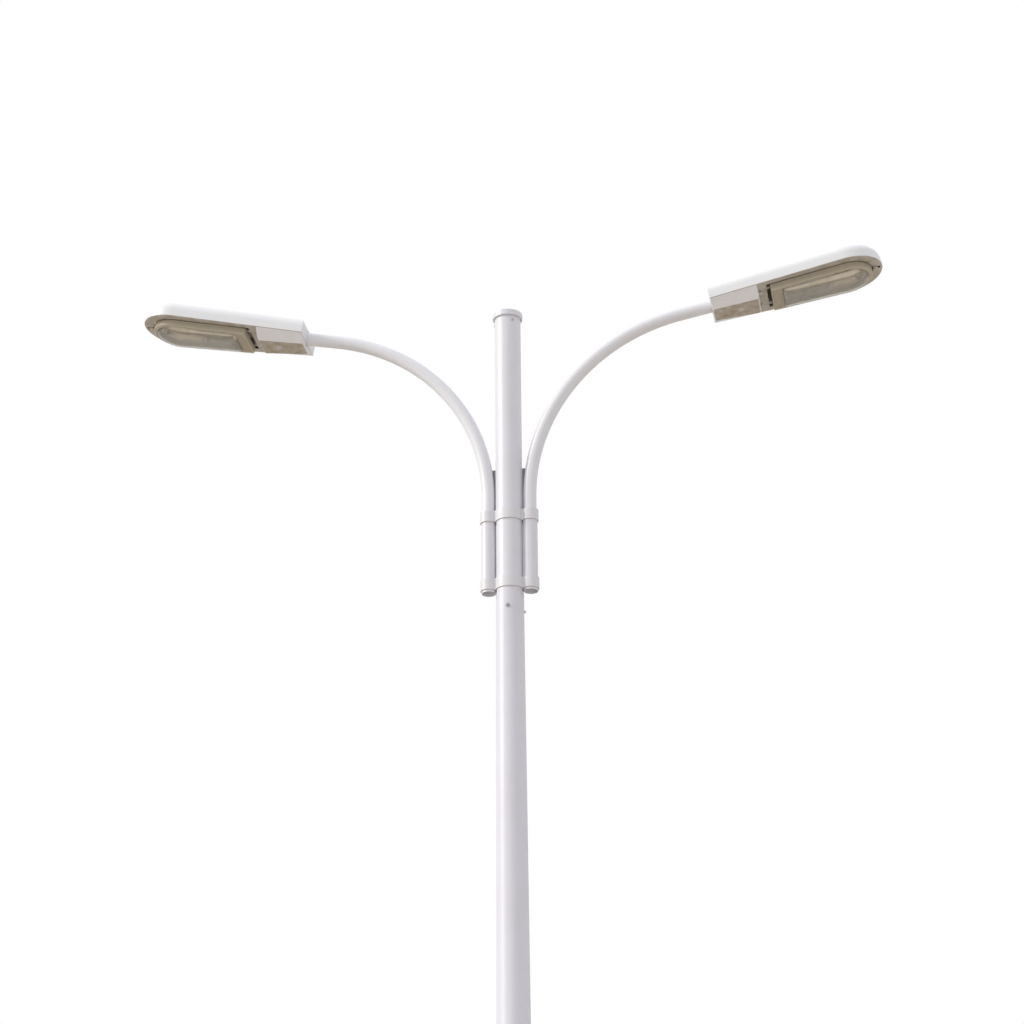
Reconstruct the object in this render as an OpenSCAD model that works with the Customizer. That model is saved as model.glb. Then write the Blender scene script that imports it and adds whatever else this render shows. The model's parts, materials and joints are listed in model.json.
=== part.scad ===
// Twin-arm street light: a tapered pole with an access door, a straight head
// tube, two swept arms held in banded sleeves, and two hinged luminaires.
// Frame: origin at the middle of the base plate's underside, +Z up, the arms
// along +X and -X, the access door on the -Y side.

/* [Pole] */
// Height of the tapered pole's top rim
pole_top_z = 6600; // [5500:50:7800]
// Outer diameter of the pole at its top rim
pole_top_d = 125; // [110:1:155]
// Growth of the pole's diameter, in mm for each metre down
pole_taper = 9.9; // [6:0.1:14]
// Wall of the pole
pole_wall = 4; // [3:0.5:6]

/* [Base] */
// Side of the square base plate
base_w = 400; // [340:10:500]
// Thickness of the base plate
base_t = 20; // [15:1:30]
// Side of the square of foundation bolts
bolt_spacing = 300; // [270:5:360]
// Diameter of a foundation bolt hole
bolt_hole_d = 28; // [18:1:36]
// Diameter of the cable entry in the middle of the plate
cable_hole_d = 100; // [60:5:140]
// Height of a gusset on the pole
gusset_h = 130; // [80:5:200]
// Reach of a gusset along the plate
gusset_w = 75; // [40:5:90]
// Thickness of a gusset
gusset_t = 10; // [6:1:15]

/* [Access door] */
// Height of the door's middle above the ground
door_z = 800; // [600:10:1200]
// Width of the door and its frame
door_w = 130; // [110:2:140]
// Height of the door and its frame
door_h = 460; // [300:10:600]
// Thickness of the door
door_t = 3; // [2:0.5:5]
// Wall of the door frame
door_frame_wall = 6; // [4:0.5:8]
// How far the frame's face stands off the pole's front
door_stand = 10; // [6:1:20]
// Depth of the frame from its face into the pole
door_frame_depth = 42; // [36:1:60]
// Diameter of the door's hinge pins
door_pin_d = 8; // [5:0.5:10]
// Diameter of the lock's barrel
lock_d = 18; // [14:1:22]

/* [Head tube] */
// Step from the pole's outer surface in to the head tube's
head_step = 2.5; // [1.5:0.5:3.5]
// Wall of the head tube
head_wall = 4; // [3:0.5:6]
// Length of the head tube above the pole's rim
head_l = 1390; // [1100:10:1800]
// Length of the spigot inside the pole
spigot_l = 200; // [150:10:300]
// How far the cap's rim stands out past the tube
cap_overhang = 9; // [5:0.5:15]
// Height of the cap's rim
cap_rim_h = 26; // [15:1:40]
// Rise of the cap's dome
cap_dome_h = 22; // [10:1:40]

/* [Bracket] */
// Height of a band
band_h = 53; // [40:1:70]
// Thickness of a band
band_t = 5; // [3:0.5:8]
// Lower edge of the lower band above the pole's rim
lower_band_up = 17; // [10:1:40]
// Lower edge of the upper band above the pole's rim
upper_band_up = 347; // [250:1:450]
// Gap between the head tube and a sleeve
sleeve_gap = 2; // [1:0.5:6]
// Wall of a sleeve
sleeve_wall = 2.7; // [2:0.1:4]
// Lower end of a sleeve above the pole's rim
sleeve_up = 6; // [3:1:10]
// Thickness of a web plate
web_t = 8; // [5:1:12]
// Height of a web plate above the upper band
web_h = 210; // [120:5:300]

/* [Arms] */
// Outer diameter of an arm
arm_d = 60; // [48:1:76]
// Wall of an arm
arm_wall = 4; // [3:0.5:5]
// Start of the bend above the pole's rim
arm_bend_up = 471; // [420:5:600]
// Radius of the bend along the arm's middle
arm_bend_r = 878; // [600:10:1100]
// Rise of the arm's outer end above level, in degrees
arm_rise = 11.3; // [5:0.1:20]
// Straight length from the bend to the luminaire
arm_straight = 151; // [100:5:300]
// Length of arm inside the luminaire
arm_spigot = 110; // [90:5:115]

/* [Canopy] */
// Length of the canopy
canopy_l = 803; // [760:5:1000]
// Width of the canopy at its rear
canopy_rear_w = 250; // [236:2:300]
// Radius of the round nose
canopy_nose_r = 166; // [150:2:185]
// Height of the near-upright side
canopy_side_h = 32; // [24:1:45]
// Rise of the rounded shoulder above the side
shoulder_h = 50; // [40:1:70]
// Reach of the rounded shoulder inwards
shoulder_w = 52; // [35:1:70]
// Rise of the crown above the shoulder
crown_h = 5; // [2:1:15]
// Rounding of the rear face's top
rear_round = 26; // [10:1:40]
// Wall of the canopy
canopy_wall = 3; // [2:0.5:4]
// Height of the arm's middle above the parting face
spigot_up = 24; // [18:1:36]
// Width of the lip round the gear opening
gear_lip = 12; // [8:1:16]

/* [Lens] */
// Rear edge of the lens frame
frame_x = 279; // [270:1:300]
// Half width of the lens frame at its rear
frame_rear_y = 104; // [90:1:112]
// Radius of the lens frame's nose
frame_nose_r = 118; // [105:1:122]
// Foremost point of the lens frame
frame_tip_x = 752; // [700:1:756]
// Depth of the lens frame below the parting face
frame_depth = 28; // [20:1:36]
// Width of the frame beside the glass
frame_side_w = 22; // [16:1:30]
// Width of the ribbed bar behind the glass
frame_bar_w = 52; // [44:1:64]
// Gap round the lens frame
frame_gap = 5; // [3:0.5:8]
// Depth of the glass bowl below the parting face
bowl_depth = 50; // [40:1:60]
// Thickness of the glass
glass_t = 4; // [3:0.5:6]
// Radius of the lamp's glass envelope
lamp_r = 23; // [16:1:26]
// Length of the lamp's glass envelope
lamp_l = 235; // [180:5:280]

/* [Gear cover] */
// Length of the gear cover
cover_l = 221; // [200:1:221]
// Half width of the cover's flat bottom at the rear
cover_rear_y = 56; // [48:1:80]
// Half width of the cover's flat bottom at the front
cover_front_y = 68; // [50:1:90]
// Depth of the cover at the rear
cover_rear_z = 27; // [22:1:36]
// Depth of the cover at the front
cover_front_z = 38; // [32:1:42]
// Wall of the cover
cover_wall = 2.5; // [2:0.5:4]
// Distance of the captive screw from the rear face
screw_x = 130; // [126:1:134]
// Diameter of the captive screw's shank
screw_d = 10; // [8:0.5:10]

/* [Fits] */
// Radial clearance of a pin in its knuckle
run_clear = 0.06; // [0.03:0.01:0.1]
// Clearance of a tube inside a sleeve or a hole
tube_clear = 0.3; // [0.2:0.05:0.6]
// Gap between pieces that part from each other
part_gap = 0.5; // [0.3:0.1:1]

/* [Hidden] */
$fn = 96;

RIGHT = 1;
LEFT = -1;
eps = 0.5;
// A straight side ends this far inside the round that it runs into
tuck = 0.05;

paint = "whitesmoke";
shade = "gainsboro";
beige = "tan";
steel = "silver";
dark = "dimgray";

// Pole and head
pole_top_r = pole_top_d / 2;
function pole_r(z) = pole_top_r + (pole_top_z - z) * pole_taper / 2000;
function pole_bore_r(z) = pole_r(z) - pole_wall;
head_r = pole_top_r - head_step;
head_top_z = pole_top_z + head_l;
spigot_play = 0.8;
spigot_r = pole_top_r - pole_wall - spigot_play;
set_bolt_down = 77;
set_bolt_angles = [-90, 30, 150];
cap_screw_angles = [180, 60, -60];

// Access door
door_face_y = -(pole_r(door_z) + door_stand);
door_bottom_z = door_z - door_h / 2;
door_corner_r = 14;
door_y = door_face_y - part_gap;
hinge_x = -(door_w / 2 + 8);
hinge_y = door_y - door_t / 2;
knuckle_r = door_pin_d / 2 + 3;
knuckle_h = 22;
hinge_spread = door_h * 0.32;
lock_x = door_w / 2 - 30;
keeper_x = lock_x + lock_d / 2 + 1;
keeper_t = 5;
keeper_y = door_face_y + 14;
cam_t = 3;
cam_y = keeper_y + keeper_t + part_gap;
cam_l = door_w / 2 - door_frame_wall - lock_x - 3;

// Bracket
sleeve_bore_r = arm_d / 2 + tube_clear;
sleeve_r = sleeve_bore_r + sleeve_wall;
arm_x = head_r + sleeve_gap + sleeve_r;
lower_band_z = pole_top_z + lower_band_up;
upper_band_z = pole_top_z + upper_band_up;
sleeve_bottom_z = pole_top_z + sleeve_up;
sleeve_top_z = upper_band_z + band_h;
arm_foot_z = sleeve_bottom_z + 25;
arm_screw_z = [for (k = [1, 2]) sleeve_bottom_z + k * (upper_band_z - sleeve_bottom_z) / 3];
band_clear = 0.1;

// Arms and the luminaire's seat on them
bend_z = pole_top_z + arm_bend_up;
bend_x = arm_x + arm_bend_r;
bend_end = [bend_x - arm_bend_r * sin(arm_rise), 0, bend_z + arm_bend_r * cos(arm_rise)];
along = [cos(arm_rise), 0, sin(arm_rise)];
upward = [-sin(arm_rise), 0, cos(arm_rise)];
seat = bend_end + arm_straight * along - spigot_up * upward;
butt_gap = 0.02;

// Outlines with a straight rear edge and a round nose: [rear x, rear half width,
// nose centre x, nose radius]
canopy_plan = [0, canopy_rear_w / 2, canopy_l - canopy_nose_r, canopy_nose_r];
lens_plan = [frame_x, frame_rear_y, frame_tip_x - frame_nose_r, frame_nose_r];
function side_slope(p) = let (run = p[2] - p[0])
  asin(p[3] / norm([run, p[1]])) - atan2(p[1], run);
function half_width(p, x) = p[1] + (x - p[0]) * tan(side_slope(p));
canopy_top_z = canopy_side_h + shoulder_h + crown_h;
lip_t = 3;
bar_rear_x = cover_l + 2;
bar_front_x = frame_x - 16;

// Hinges, catch and screws of a luminaire
pin_r = 3;
pin_bore_r = pin_r + run_clear;
ear_t = 6;
ear_r = 6;
lens_pin_x = frame_x - 8;
lens_pin_z = 6;
lens_ear_y = 70;
cover_pin_x = cover_l + 6;
cover_pin_z = -9;
cover_ear_y = 58;
catch_travel = 6;
catch_w = 30;
catch_top_z = -8;
catch_t = 5;
tongue_reach = 5;
saddle_x = 50;
saddle_l = 30;
saddle_bolt_y = arm_d / 2 + 12;
saddle_bolt_d = 8;
saddle_bottom_z = spigot_up - arm_d / 2 - 9;
reflector_x = 332;
reflector_z = 66;
lamp_z = 36;
holder_x = 288;
holder_l = 56;
tray_t = 2;
tray_z = lip_t;
tray_top_z = tray_z + tray_t;

// ---------------------------------------------------------------- helpers

module ring(outer_r, inner_r, h) {
  linear_extrude(h) difference() {
    circle(outer_r);
    circle(inner_r);
  }
}

// A plate outline with round corners, centred
module round_rect(w, d, r) {
  square([w - 2 * r, d], center = true);
  square([w, d - 2 * r], center = true);
  for (sx = [-1, 1], sy = [-1, 1])
    translate([sx * (w / 2 - r), sy * (d / 2 - r)]) circle(r);
}

// An outline with a straight rear edge and a round nose, drawn in by inset
module nosed_outline(p, inset = 0, rear = 0) {
  a = side_slope(p);
  r = p[3] - inset;
  rear_y = half_width(p, rear) - inset / cos(a);
  touch = [p[2] - r * sin(a), r * cos(a) - tuck];
  polygon([[rear, rear_y], touch, [touch[0], -touch[1]], [rear, -rear_y]]);
  translate([p[2], 0]) circle(r);
}

// A prism standing on the ground plan of children, from z0 up to z1
module between(z0, z1) {
  translate([0, 0, z0]) linear_extrude(z1 - z0) children();
}

// A horizontal rod along Y, centred on y = 0
module rod_y(r, l) {
  rotate([90, 0, 0]) cylinder(r = r, h = l, center = true);
}

// A horizontal rod along +X
module rod_x(r, l) {
  rotate([0, 90, 0]) cylinder(r = r, h = l);
}

// A hexagon head or nut lying on z = 0
module hexagon(across, h) {
  cylinder(d = across / cos(30), h = h, $fn = 6);
}

// Both copies of children, right and left
module both_sides() {
  children();
  mirror([1, 0, 0]) children();
}

// Moves children from a luminaire's own frame onto its arm
module on_luminaire(side) {
  mirror([side == LEFT ? 1 : 0, 0, 0])
    translate(seat) rotate([0, -arm_rise, 0]) children();
}

// ---------------------------------------------------------------- pole and base

module pole_shaft() {
  color(paint) difference() {
    translate([0, 0, base_t])
      cylinder(r1 = pole_r(base_t), r2 = pole_top_r, h = pole_top_z - base_t);
    translate([0, 0, base_t])
      cylinder(r1 = pole_bore_r(base_t), r2 = pole_bore_r(pole_top_z), h = pole_top_z - base_t);
    translate([-door_w / 2, -pole_r(0) - door_stand, door_bottom_z])
      cube([door_w, pole_r(0) + door_stand + door_face_y + door_frame_depth, door_h]);
    for (a = set_bolt_angles)
      rotate([0, 0, a]) translate([0, 0, pole_top_z - set_bolt_down])
        rod_x(set_bolt_r + tube_clear, pole_r(0));
  }
}

module base_plate() {
  color(shade) linear_extrude(base_t) difference() {
    round_rect(base_w, base_w, 20);
    circle(d = cable_hole_d);
    for (sx = [-1, 1], sy = [-1, 1])
      translate([sx, sy] * bolt_spacing / 2) circle(d = bolt_hole_d);
  }
}

module base_gussets() {
  foot_r = pole_r(base_t);
  head_end_r = pole_r(base_t + gusset_h);
  nose = 12;
  color(paint) for (a = [0:90:270])
    rotate([0, 0, a]) translate([0, gusset_t / 2, 0]) rotate([90, 0, 0])
      linear_extrude(gusset_t)
        polygon([[foot_r, base_t], [foot_r + gusset_w, base_t],
          [foot_r + gusset_w, base_t + nose], [head_end_r + nose, base_t + gusset_h],
          [head_end_r, base_t + gusset_h]]);
}

// ---------------------------------------------------------------- access door

// A plate lying against y, spread over x and z, from y back by depth
module upright(y, depth) {
  translate([0, y + depth, door_z]) rotate([90, 0, 0]) linear_extrude(depth) children();
}

// One group of hinge knuckles at the two hinges: where = 0 for the middle one
module door_knuckles(where) {
  offsets = where == 0 ? [0] : [-1, 1];
  for (s = [-1, 1], k = offsets)
    translate([hinge_x, hinge_y, door_z + s * hinge_spread + k * (knuckle_h + part_gap)
      - knuckle_h / 2]) {
      difference() {
        union() {
          cylinder(r = knuckle_r, h = knuckle_h);
          children();
        }
        translate([0, 0, -eps])
          cylinder(r = door_pin_d / 2 + run_clear, h = knuckle_h + 2 * eps);
      }
    }
}

module door_frame() {
  leaf_x = -door_w / 2 - hinge_x;
  color(shade) {
    difference() {
      upright(door_face_y, door_frame_depth) square([door_w, door_h], center = true);
      upright(door_face_y - eps, door_frame_depth + 2 * eps)
        square([door_w, door_h] - 2 * door_frame_wall * [1, 1], center = true);
    }
    translate([keeper_x, keeper_y, door_z - 14])
      cube([door_w / 2 - door_frame_wall - keeper_x + eps, keeper_t, 28]);
    door_knuckles(1)
      translate([0, 3, 0]) cube([leaf_x + eps, door_face_y - hinge_y + 10, knuckle_h]);
  }
}

module access_door() {
  leaf_x = -door_w / 2 - hinge_x;
  color(paint) {
    difference() {
      upright(door_y - door_t, door_t) round_rect(door_w, door_h, door_corner_r);
      translate([lock_x, door_y, door_z]) rod_y(lock_d / 2 + run_clear, 4 * door_t);
    }
    door_knuckles(0)
      translate([0, -door_t / 2, 0]) cube([leaf_x + 10, door_t, knuckle_h]);
  }
}

module door_hinge_pins() {
  pin_l = 3 * knuckle_h + 2 * part_gap;
  color(steel) for (s = [-1, 1])
    translate([hinge_x, hinge_y, door_z + s * hinge_spread - pin_l / 2]) {
      cylinder(r = door_pin_d / 2, h = pin_l);
      translate([0, 0, pin_l]) cylinder(r = door_pin_d / 2 + 2, h = 2.5);
    }
}

module door_lock_barrel() {
  flange_t = 3;
  key_across = 9;
  front_y = door_y - door_t - flange_t;
  color(steel) difference() {
    union() {
      translate([lock_x, front_y + flange_t / 2, door_z]) rod_y(lock_d / 2 + 4, flange_t);
      translate([lock_x, (front_y + cam_y) / 2, door_z]) rod_y(lock_d / 2, cam_y - front_y);
    }
    translate([lock_x, front_y + 8, door_z]) rotate([90, 0, 0])
      linear_extrude(8 + eps) difference() {
        circle(6);
        circle(r = key_across / 2, $fn = 3);
      }
  }
}

module door_lock_cam() {
  cam_w = 12;
  color(steel) translate([lock_x, cam_y + cam_t, door_z]) rotate([90, 0, 0])
    linear_extrude(cam_t) {
      circle(cam_w / 2);
      translate([-cam_w / 2, 0]) square([cam_w, cam_l]);
    }
}

// ---------------------------------------------------------------- gear in the pole

board_w = 90;
board_h = 300;
board_t = 8;
board_y = 10;
board_post_r = 8;

module fuse_board() {
  color("burlywood") {
    upright(board_y, board_t) square([board_w, board_h], center = true);
    for (s = [-1, 1]) {
      z = s * board_h * 0.4;
      reach = sqrt(pow(pole_bore_r(door_z + z + board_post_r), 2) - pow(board_post_r, 2));
      upright(board_y + board_t, reach - board_y - board_t - part_gap / 5)
        translate([0, z]) circle(board_post_r);
    }
  }
}

fuse_base = [34, 30, 90];
fuse_spread = 22;

module fuse_bases() {
  color(dark) for (s = [-1, 1])
    difference() {
      translate([s * fuse_spread - fuse_base[0] / 2, board_y - fuse_base[1],
        door_z - fuse_base[2] / 2]) cube(fuse_base);
      translate([s * fuse_spread - 9, board_y - fuse_base[1] - eps, door_z - 33])
        cube([18, 18 + eps, 66]);
    }
}

module fuse_carriers() {
  color("whitesmoke") for (s = [-1, 1])
    translate([s * fuse_spread - 8.5, board_y - fuse_base[1] - 10, door_z - 32.5]) {
      translate([0, 0, 0]) cube([17, 28, 65]);
      translate([3, -8, 20]) cube([11, 8, 25]);
    }
}

earth_stud_d = 10;
earth_z_down = 170;

module earth_bolt() {
  stud_l = 24;
  back_y = door_face_y + door_frame_depth / 2 + 4;
  start_x = -door_w / 2 + door_frame_wall;
  color("goldenrod") translate([start_x, back_y, door_z - earth_z_down]) {
    rod_x(earth_stud_d / 2, stud_l);
    rotate([0, 90, 0]) hexagon(17, 8);
    translate([9, 0, 0]) rotate([0, 90, 0]) cylinder(r = 11, h = 2);
  }
}

// ---------------------------------------------------------------- head tube and cap

module head_tube() {
  color(paint) difference() {
    union() {
      translate([0, 0, pole_top_z]) cylinder(r = head_r, h = head_l);
      translate([0, 0, pole_top_z - spigot_l]) cylinder(r = spigot_r, h = spigot_l + eps);
    }
    translate([0, 0, pole_top_z - spigot_l - eps])
      cylinder(r = spigot_r - head_wall, h = head_l + spigot_l + 2 * eps);
    for (a = cap_screw_angles)
      rotate([0, 0, a]) translate([0, 0, cap_screw_z]) rod_x(cap_screw_r + tube_clear, head_r + 10);
  }
}

set_bolt_r = 6;
set_bolt_head_r = 9;

module head_set_bolts() {
  z = pole_top_z - set_bolt_down;
  color(steel) for (a = set_bolt_angles)
    rotate([0, 0, a]) {
      translate([spigot_r, 0, z]) rod_x(set_bolt_r, pole_r(z) - spigot_r + 2);
      translate([pole_r(z) + part_gap, 0, z]) rod_x(set_bolt_head_r, 7);
      translate([pole_r(z) + part_gap + 7, 0, z]) rotate([0, 90, 0]) hexagon(10, 4);
    }
}

cap_plug_l = 55;
cap_plug_wall = 5;
cap_plug_r = spigot_r - head_wall - tube_clear;
cap_rim_r = head_r + cap_overhang;
cap_skirt_down = 16;
cap_screw_r = 3;
cap_screw_z = head_top_z - cap_plug_l + 15;

module head_cap() {
  dome_r = (pow(cap_rim_r, 2) + pow(cap_dome_h, 2)) / (2 * cap_dome_h);
  dome_foot = cap_rim_h - cap_skirt_down;
  color(paint) translate([0, 0, head_top_z]) {
    rotate_extrude() {
      translate([head_r + tube_clear, -cap_skirt_down])
        square([cap_overhang - tube_clear, cap_skirt_down]);
      square([cap_rim_r, dome_foot]);
      intersection() {
        translate([0, dome_foot + cap_dome_h - dome_r]) circle(dome_r);
        translate([0, dome_foot - eps]) square([cap_rim_r, cap_dome_h + 2 * eps]);
      }
    }
    difference() {
      translate([0, 0, -cap_plug_l]) ring(cap_plug_r, cap_plug_r - cap_plug_wall, cap_plug_l);
      for (a = cap_screw_angles)
        rotate([0, 0, a]) translate([0, 0, cap_screw_z - head_top_z])
          rod_x(cap_screw_r + tube_clear, head_r);
    }
  }
}

module cap_screws() {
  color(steel) for (a = cap_screw_angles)
    rotate([0, 0, a]) {
      translate([cap_plug_r - cap_plug_wall, 0, cap_screw_z])
        rod_x(cap_screw_r, head_r - cap_plug_r + cap_plug_wall + 1);
      translate([head_r + part_gap / 5, 0, cap_screw_z]) rod_x(6, 4);
    }
}

// ---------------------------------------------------------------- bracket

// Three discs in a row, over the head tube and both sleeves
module belt_outline(extra) {
  circle(head_r + extra);
  for (s = [-1, 1])
    translate([s * arm_x, 0]) circle(sleeve_r + extra);
}

module band(z) {
  color(paint) between(z, z + band_h) difference() {
    belt_outline(band_t + band_clear);
    belt_outline(band_clear);
  }
}

module upper_band() {
  band(upper_band_z);
}

module lower_band() {
  band(lower_band_z);
}

arm_screw_r = 4;

module sleeve() {
  color(paint) difference() {
    translate([arm_x, 0, sleeve_bottom_z])
      ring(sleeve_r, sleeve_bore_r, sleeve_top_z - sleeve_bottom_z);
    for (z = arm_screw_z)
      translate([arm_x, sleeve_r, z]) rod_y(arm_screw_r + run_clear, sleeve_r);
  }
}

module sleeve_right() {
  sleeve();
}

module sleeve_left() {
  mirror([1, 0, 0]) sleeve();
}

module web() {
  clear = band_clear;
  color(dark) translate([0, web_t / 2, 0]) rotate([90, 0, 0]) linear_extrude(web_t)
    difference() {
      translate([head_r + clear, sleeve_top_z + clear])
        square([arm_x - head_r, web_h]);
      translate([bend_x, bend_z]) circle(arm_bend_r + arm_d / 2 + clear, $fn = 360);
      translate([arm_x - arm_d / 2 - clear, 0]) square([arm_d, bend_z]);
    }
}

module web_right() {
  web();
}

module web_left() {
  mirror([1, 0, 0]) web();
}

module arm_set_screws() {
  tip_y = arm_d / 2;
  stem_l = sleeve_r - tip_y + 4;
  color(steel) both_sides() for (z = arm_screw_z)
    translate([arm_x, 0, z]) {
      translate([0, tip_y + stem_l / 2, 0]) rod_y(arm_screw_r, stem_l);
      translate([0, tip_y + stem_l, 0]) rotate([-90, 0, 0]) hexagon(13, 6);
    }
}

// ---------------------------------------------------------------- arms

module arm_profile() {
  difference() {
    circle(arm_d / 2);
    circle(arm_d / 2 - arm_wall);
  }
}

// A bent tube with a straight tube butted on at its outer end
module arm() {
  color(paint) {
    translate([arm_x, 0, arm_foot_z]) linear_extrude(bend_z - arm_foot_z) arm_profile();
    translate([bend_x, 0, bend_z]) rotate([90, 0, 0]) rotate([0, 0, 90 + arm_rise])
      rotate_extrude(angle = 90 - arm_rise) translate([arm_bend_r, 0]) arm_profile();
    translate(bend_end + butt_gap * along) rotate([0, 90 - arm_rise, 0])
      linear_extrude(arm_straight + arm_spigot - butt_gap) arm_profile();
  }
}

module arm_right() {
  arm();
}

module arm_left() {
  mirror([1, 0, 0]) arm();
}

// ---------------------------------------------------------------- canopy

// The canopy's outer form drawn in by skin, as one smooth hull
module canopy_form(skin, foot_z) {
  hull() {
    between(foot_z, foot_z + 1) nosed_outline(canopy_plan, skin, skin, $fn = 72);
    for (u = [0, 25, 50, 70, 90]) {
      top = canopy_side_h + shoulder_h * sin(u) - skin;
      between(top - 1, top)
        nosed_outline(canopy_plan, skin + shoulder_w * (1 - cos(u)) + 1,
          skin + rear_round * (1 - cos(u)), $fn = 72);
    }
    between(canopy_top_z - skin - 1, canopy_top_z - skin)
      nosed_outline(canopy_plan, skin + 1.8 * shoulder_w, skin + 2 * rear_round, $fn = 72);
  }
}

module gear_opening() {
  translate([0, 0, -eps]) linear_extrude(lip_t + 2 * eps) intersection() {
    nosed_outline(canopy_plan, gear_lip, gear_lip);
    translate([0, -canopy_nose_r]) square([bar_rear_x - 4, 2 * canopy_nose_r]);
  }
}

module lens_opening() {
  translate([0, 0, -eps]) linear_extrude(lip_t + 2 * eps)
    nosed_outline(lens_plan, -frame_gap, bar_front_x);
}

// A hinge ear that hangs or stands at the lip, with its pin's bore
module ear(x, z, y, lip_x) {
  low = min(z, 0);
  high = max(z, lip_t);
  for (s = [-1, 1]) translate([0, s * y, 0]) difference() {
    union() {
      translate([x, 0, z]) rod_y(ear_r, ear_t);
      translate([min(x, lip_x), -ear_t / 2, z < 0 ? z : 0])
        cube([abs(lip_x - x), ear_t, z < 0 ? lip_t - z : z]);
    }
    translate([x, 0, z]) rod_y(pin_bore_r, 2 * ear_t);
  }
}

module canopy() {
  roof_z = canopy_top_z - canopy_wall;
  arm_hole_r = arm_d / 2 + tube_clear;
  color(paint) difference() {
    union() {
      difference() {
        canopy_form(0, 0);
        canopy_form(canopy_wall, lip_t);
        gear_opening();
        lens_opening();
      }
      translate([saddle_x - saddle_l / 2, -arm_d / 2, spigot_up + 10])
        cube([saddle_l, arm_d, roof_z - spigot_up - 9]);
      for (s = [-1, 1])
        translate([saddle_x, s * saddle_bolt_y, spigot_up - 8])
          cylinder(r = 9, h = roof_z - spigot_up + 8.5);
      ear(lens_pin_x, lens_pin_z, lens_ear_y, bar_front_x - 4);
      ear(cover_pin_x, cover_pin_z, cover_ear_y, bar_rear_x + 12);
    }
    translate([-eps, 0, spigot_up]) rod_x(arm_hole_r, arm_spigot + 2);
    translate([-eps, 0, spigot_up + arm_d / 2 + 9]) rod_x(11, 2 * canopy_wall);
    for (s = [-1, 1])
      translate([saddle_x, s * saddle_bolt_y, spigot_up - 9])
        cylinder(r = saddle_bolt_d / 2 + run_clear, h = 40);
    translate([catch_slot_x, -catch_neck_w / 2 - part_gap, -eps])
      cube([catch_slot_l, catch_neck_w + 2 * part_gap, lip_t + 2 * eps]);
  }
}

module canopy_right() {
  on_luminaire(RIGHT) canopy();
}

module canopy_left() {
  on_luminaire(LEFT) canopy();
}

// ---------------------------------------------------------------- lamp chamber

module reflector_form(skin, foot_z) {
  hull() {
    between(foot_z, foot_z + 1) nosed_outline(lens_plan, 14 + skin, reflector_x + skin, $fn = 48);
    between(40 - skin, 41 - skin)
      nosed_outline(lens_plan, 24 + skin, reflector_x + 3 + skin, $fn = 48);
    between(reflector_z - skin - 1, reflector_z - skin)
      nosed_outline(lens_plan, 52 + skin, reflector_x + 8 + skin, $fn = 48);
  }
}

module reflector() {
  sheet = 1.5;
  flange_z = lip_t;
  catch_room = catch_neck_w / 2 + 6;
  color(steel) difference() {
    union() {
      between(flange_z, flange_z + 2) nosed_outline(lens_plan, -frame_gap - 4, reflector_x - 12);
      reflector_form(0, flange_z);
    }
    reflector_form(sheet, flange_z - 2);
    translate([reflector_x - 30, 0, lamp_z]) rod_x(holder_r + 2, 60);
    translate([frame_tip_x, -catch_room, flange_z - eps]) cube([40, 2 * catch_room, 3]);
  }
}

module reflector_right() {
  on_luminaire(RIGHT) reflector();
}

module reflector_left() {
  on_luminaire(LEFT) reflector();
}

module lamp() {
  base_r = 19;
  base_l = 40;
  start_x = holder_x + holder_l - base_l + 6;
  color("ghostwhite") translate([0, 0, lamp_z]) {
    translate([start_x, 0, 0]) rod_x(base_r, base_l);
    translate([start_x + base_l, 0, 0]) rod_x(lamp_r, lamp_l - lamp_r);
    translate([start_x + base_l + lamp_l - lamp_r, 0, 0]) intersection() {
      sphere(lamp_r);
      translate([0, -lamp_r, -lamp_r]) cube(2 * lamp_r);
    }
  }
}

module lamp_right() {
  on_luminaire(RIGHT) lamp();
}

module lamp_left() {
  on_luminaire(LEFT) lamp();
}

holder_r = 27;

module lampholder() {
  bracket_t = 3;
  bracket_w = 44;
  socket_r = 19.5;
  roof_z = canopy_top_z - canopy_wall - part_gap;
  color("linen") {
    difference() {
      translate([holder_x, 0, lamp_z]) rod_x(holder_r, holder_l);
      translate([holder_x + holder_l - 36, 0, lamp_z]) rod_x(socket_r, 40);
    }
    translate([holder_x - bracket_t, -bracket_w / 2, lamp_z - holder_r])
      cube([bracket_t + eps, bracket_w, roof_z - lamp_z + holder_r]);
    translate([holder_x - bracket_t, -bracket_w / 2, roof_z - bracket_t])
      cube([24, bracket_w, bracket_t]);
  }
}

module lampholder_right() {
  on_luminaire(RIGHT) lampholder();
}

module lampholder_left() {
  on_luminaire(LEFT) lampholder();
}

// ---------------------------------------------------------------- lens

glass_seat_z = -8;
glass_rim_w = 8;
frame_top_z = lip_t - 1;
gasket_t = 0.7;
catch_neck_w = 18;
catch_slot_l = 30;
catch_slot_x = frame_tip_x + frame_gap + 5;
catch_rest_x = frame_tip_x + 1 + catch_travel - tongue_reach;

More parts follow.
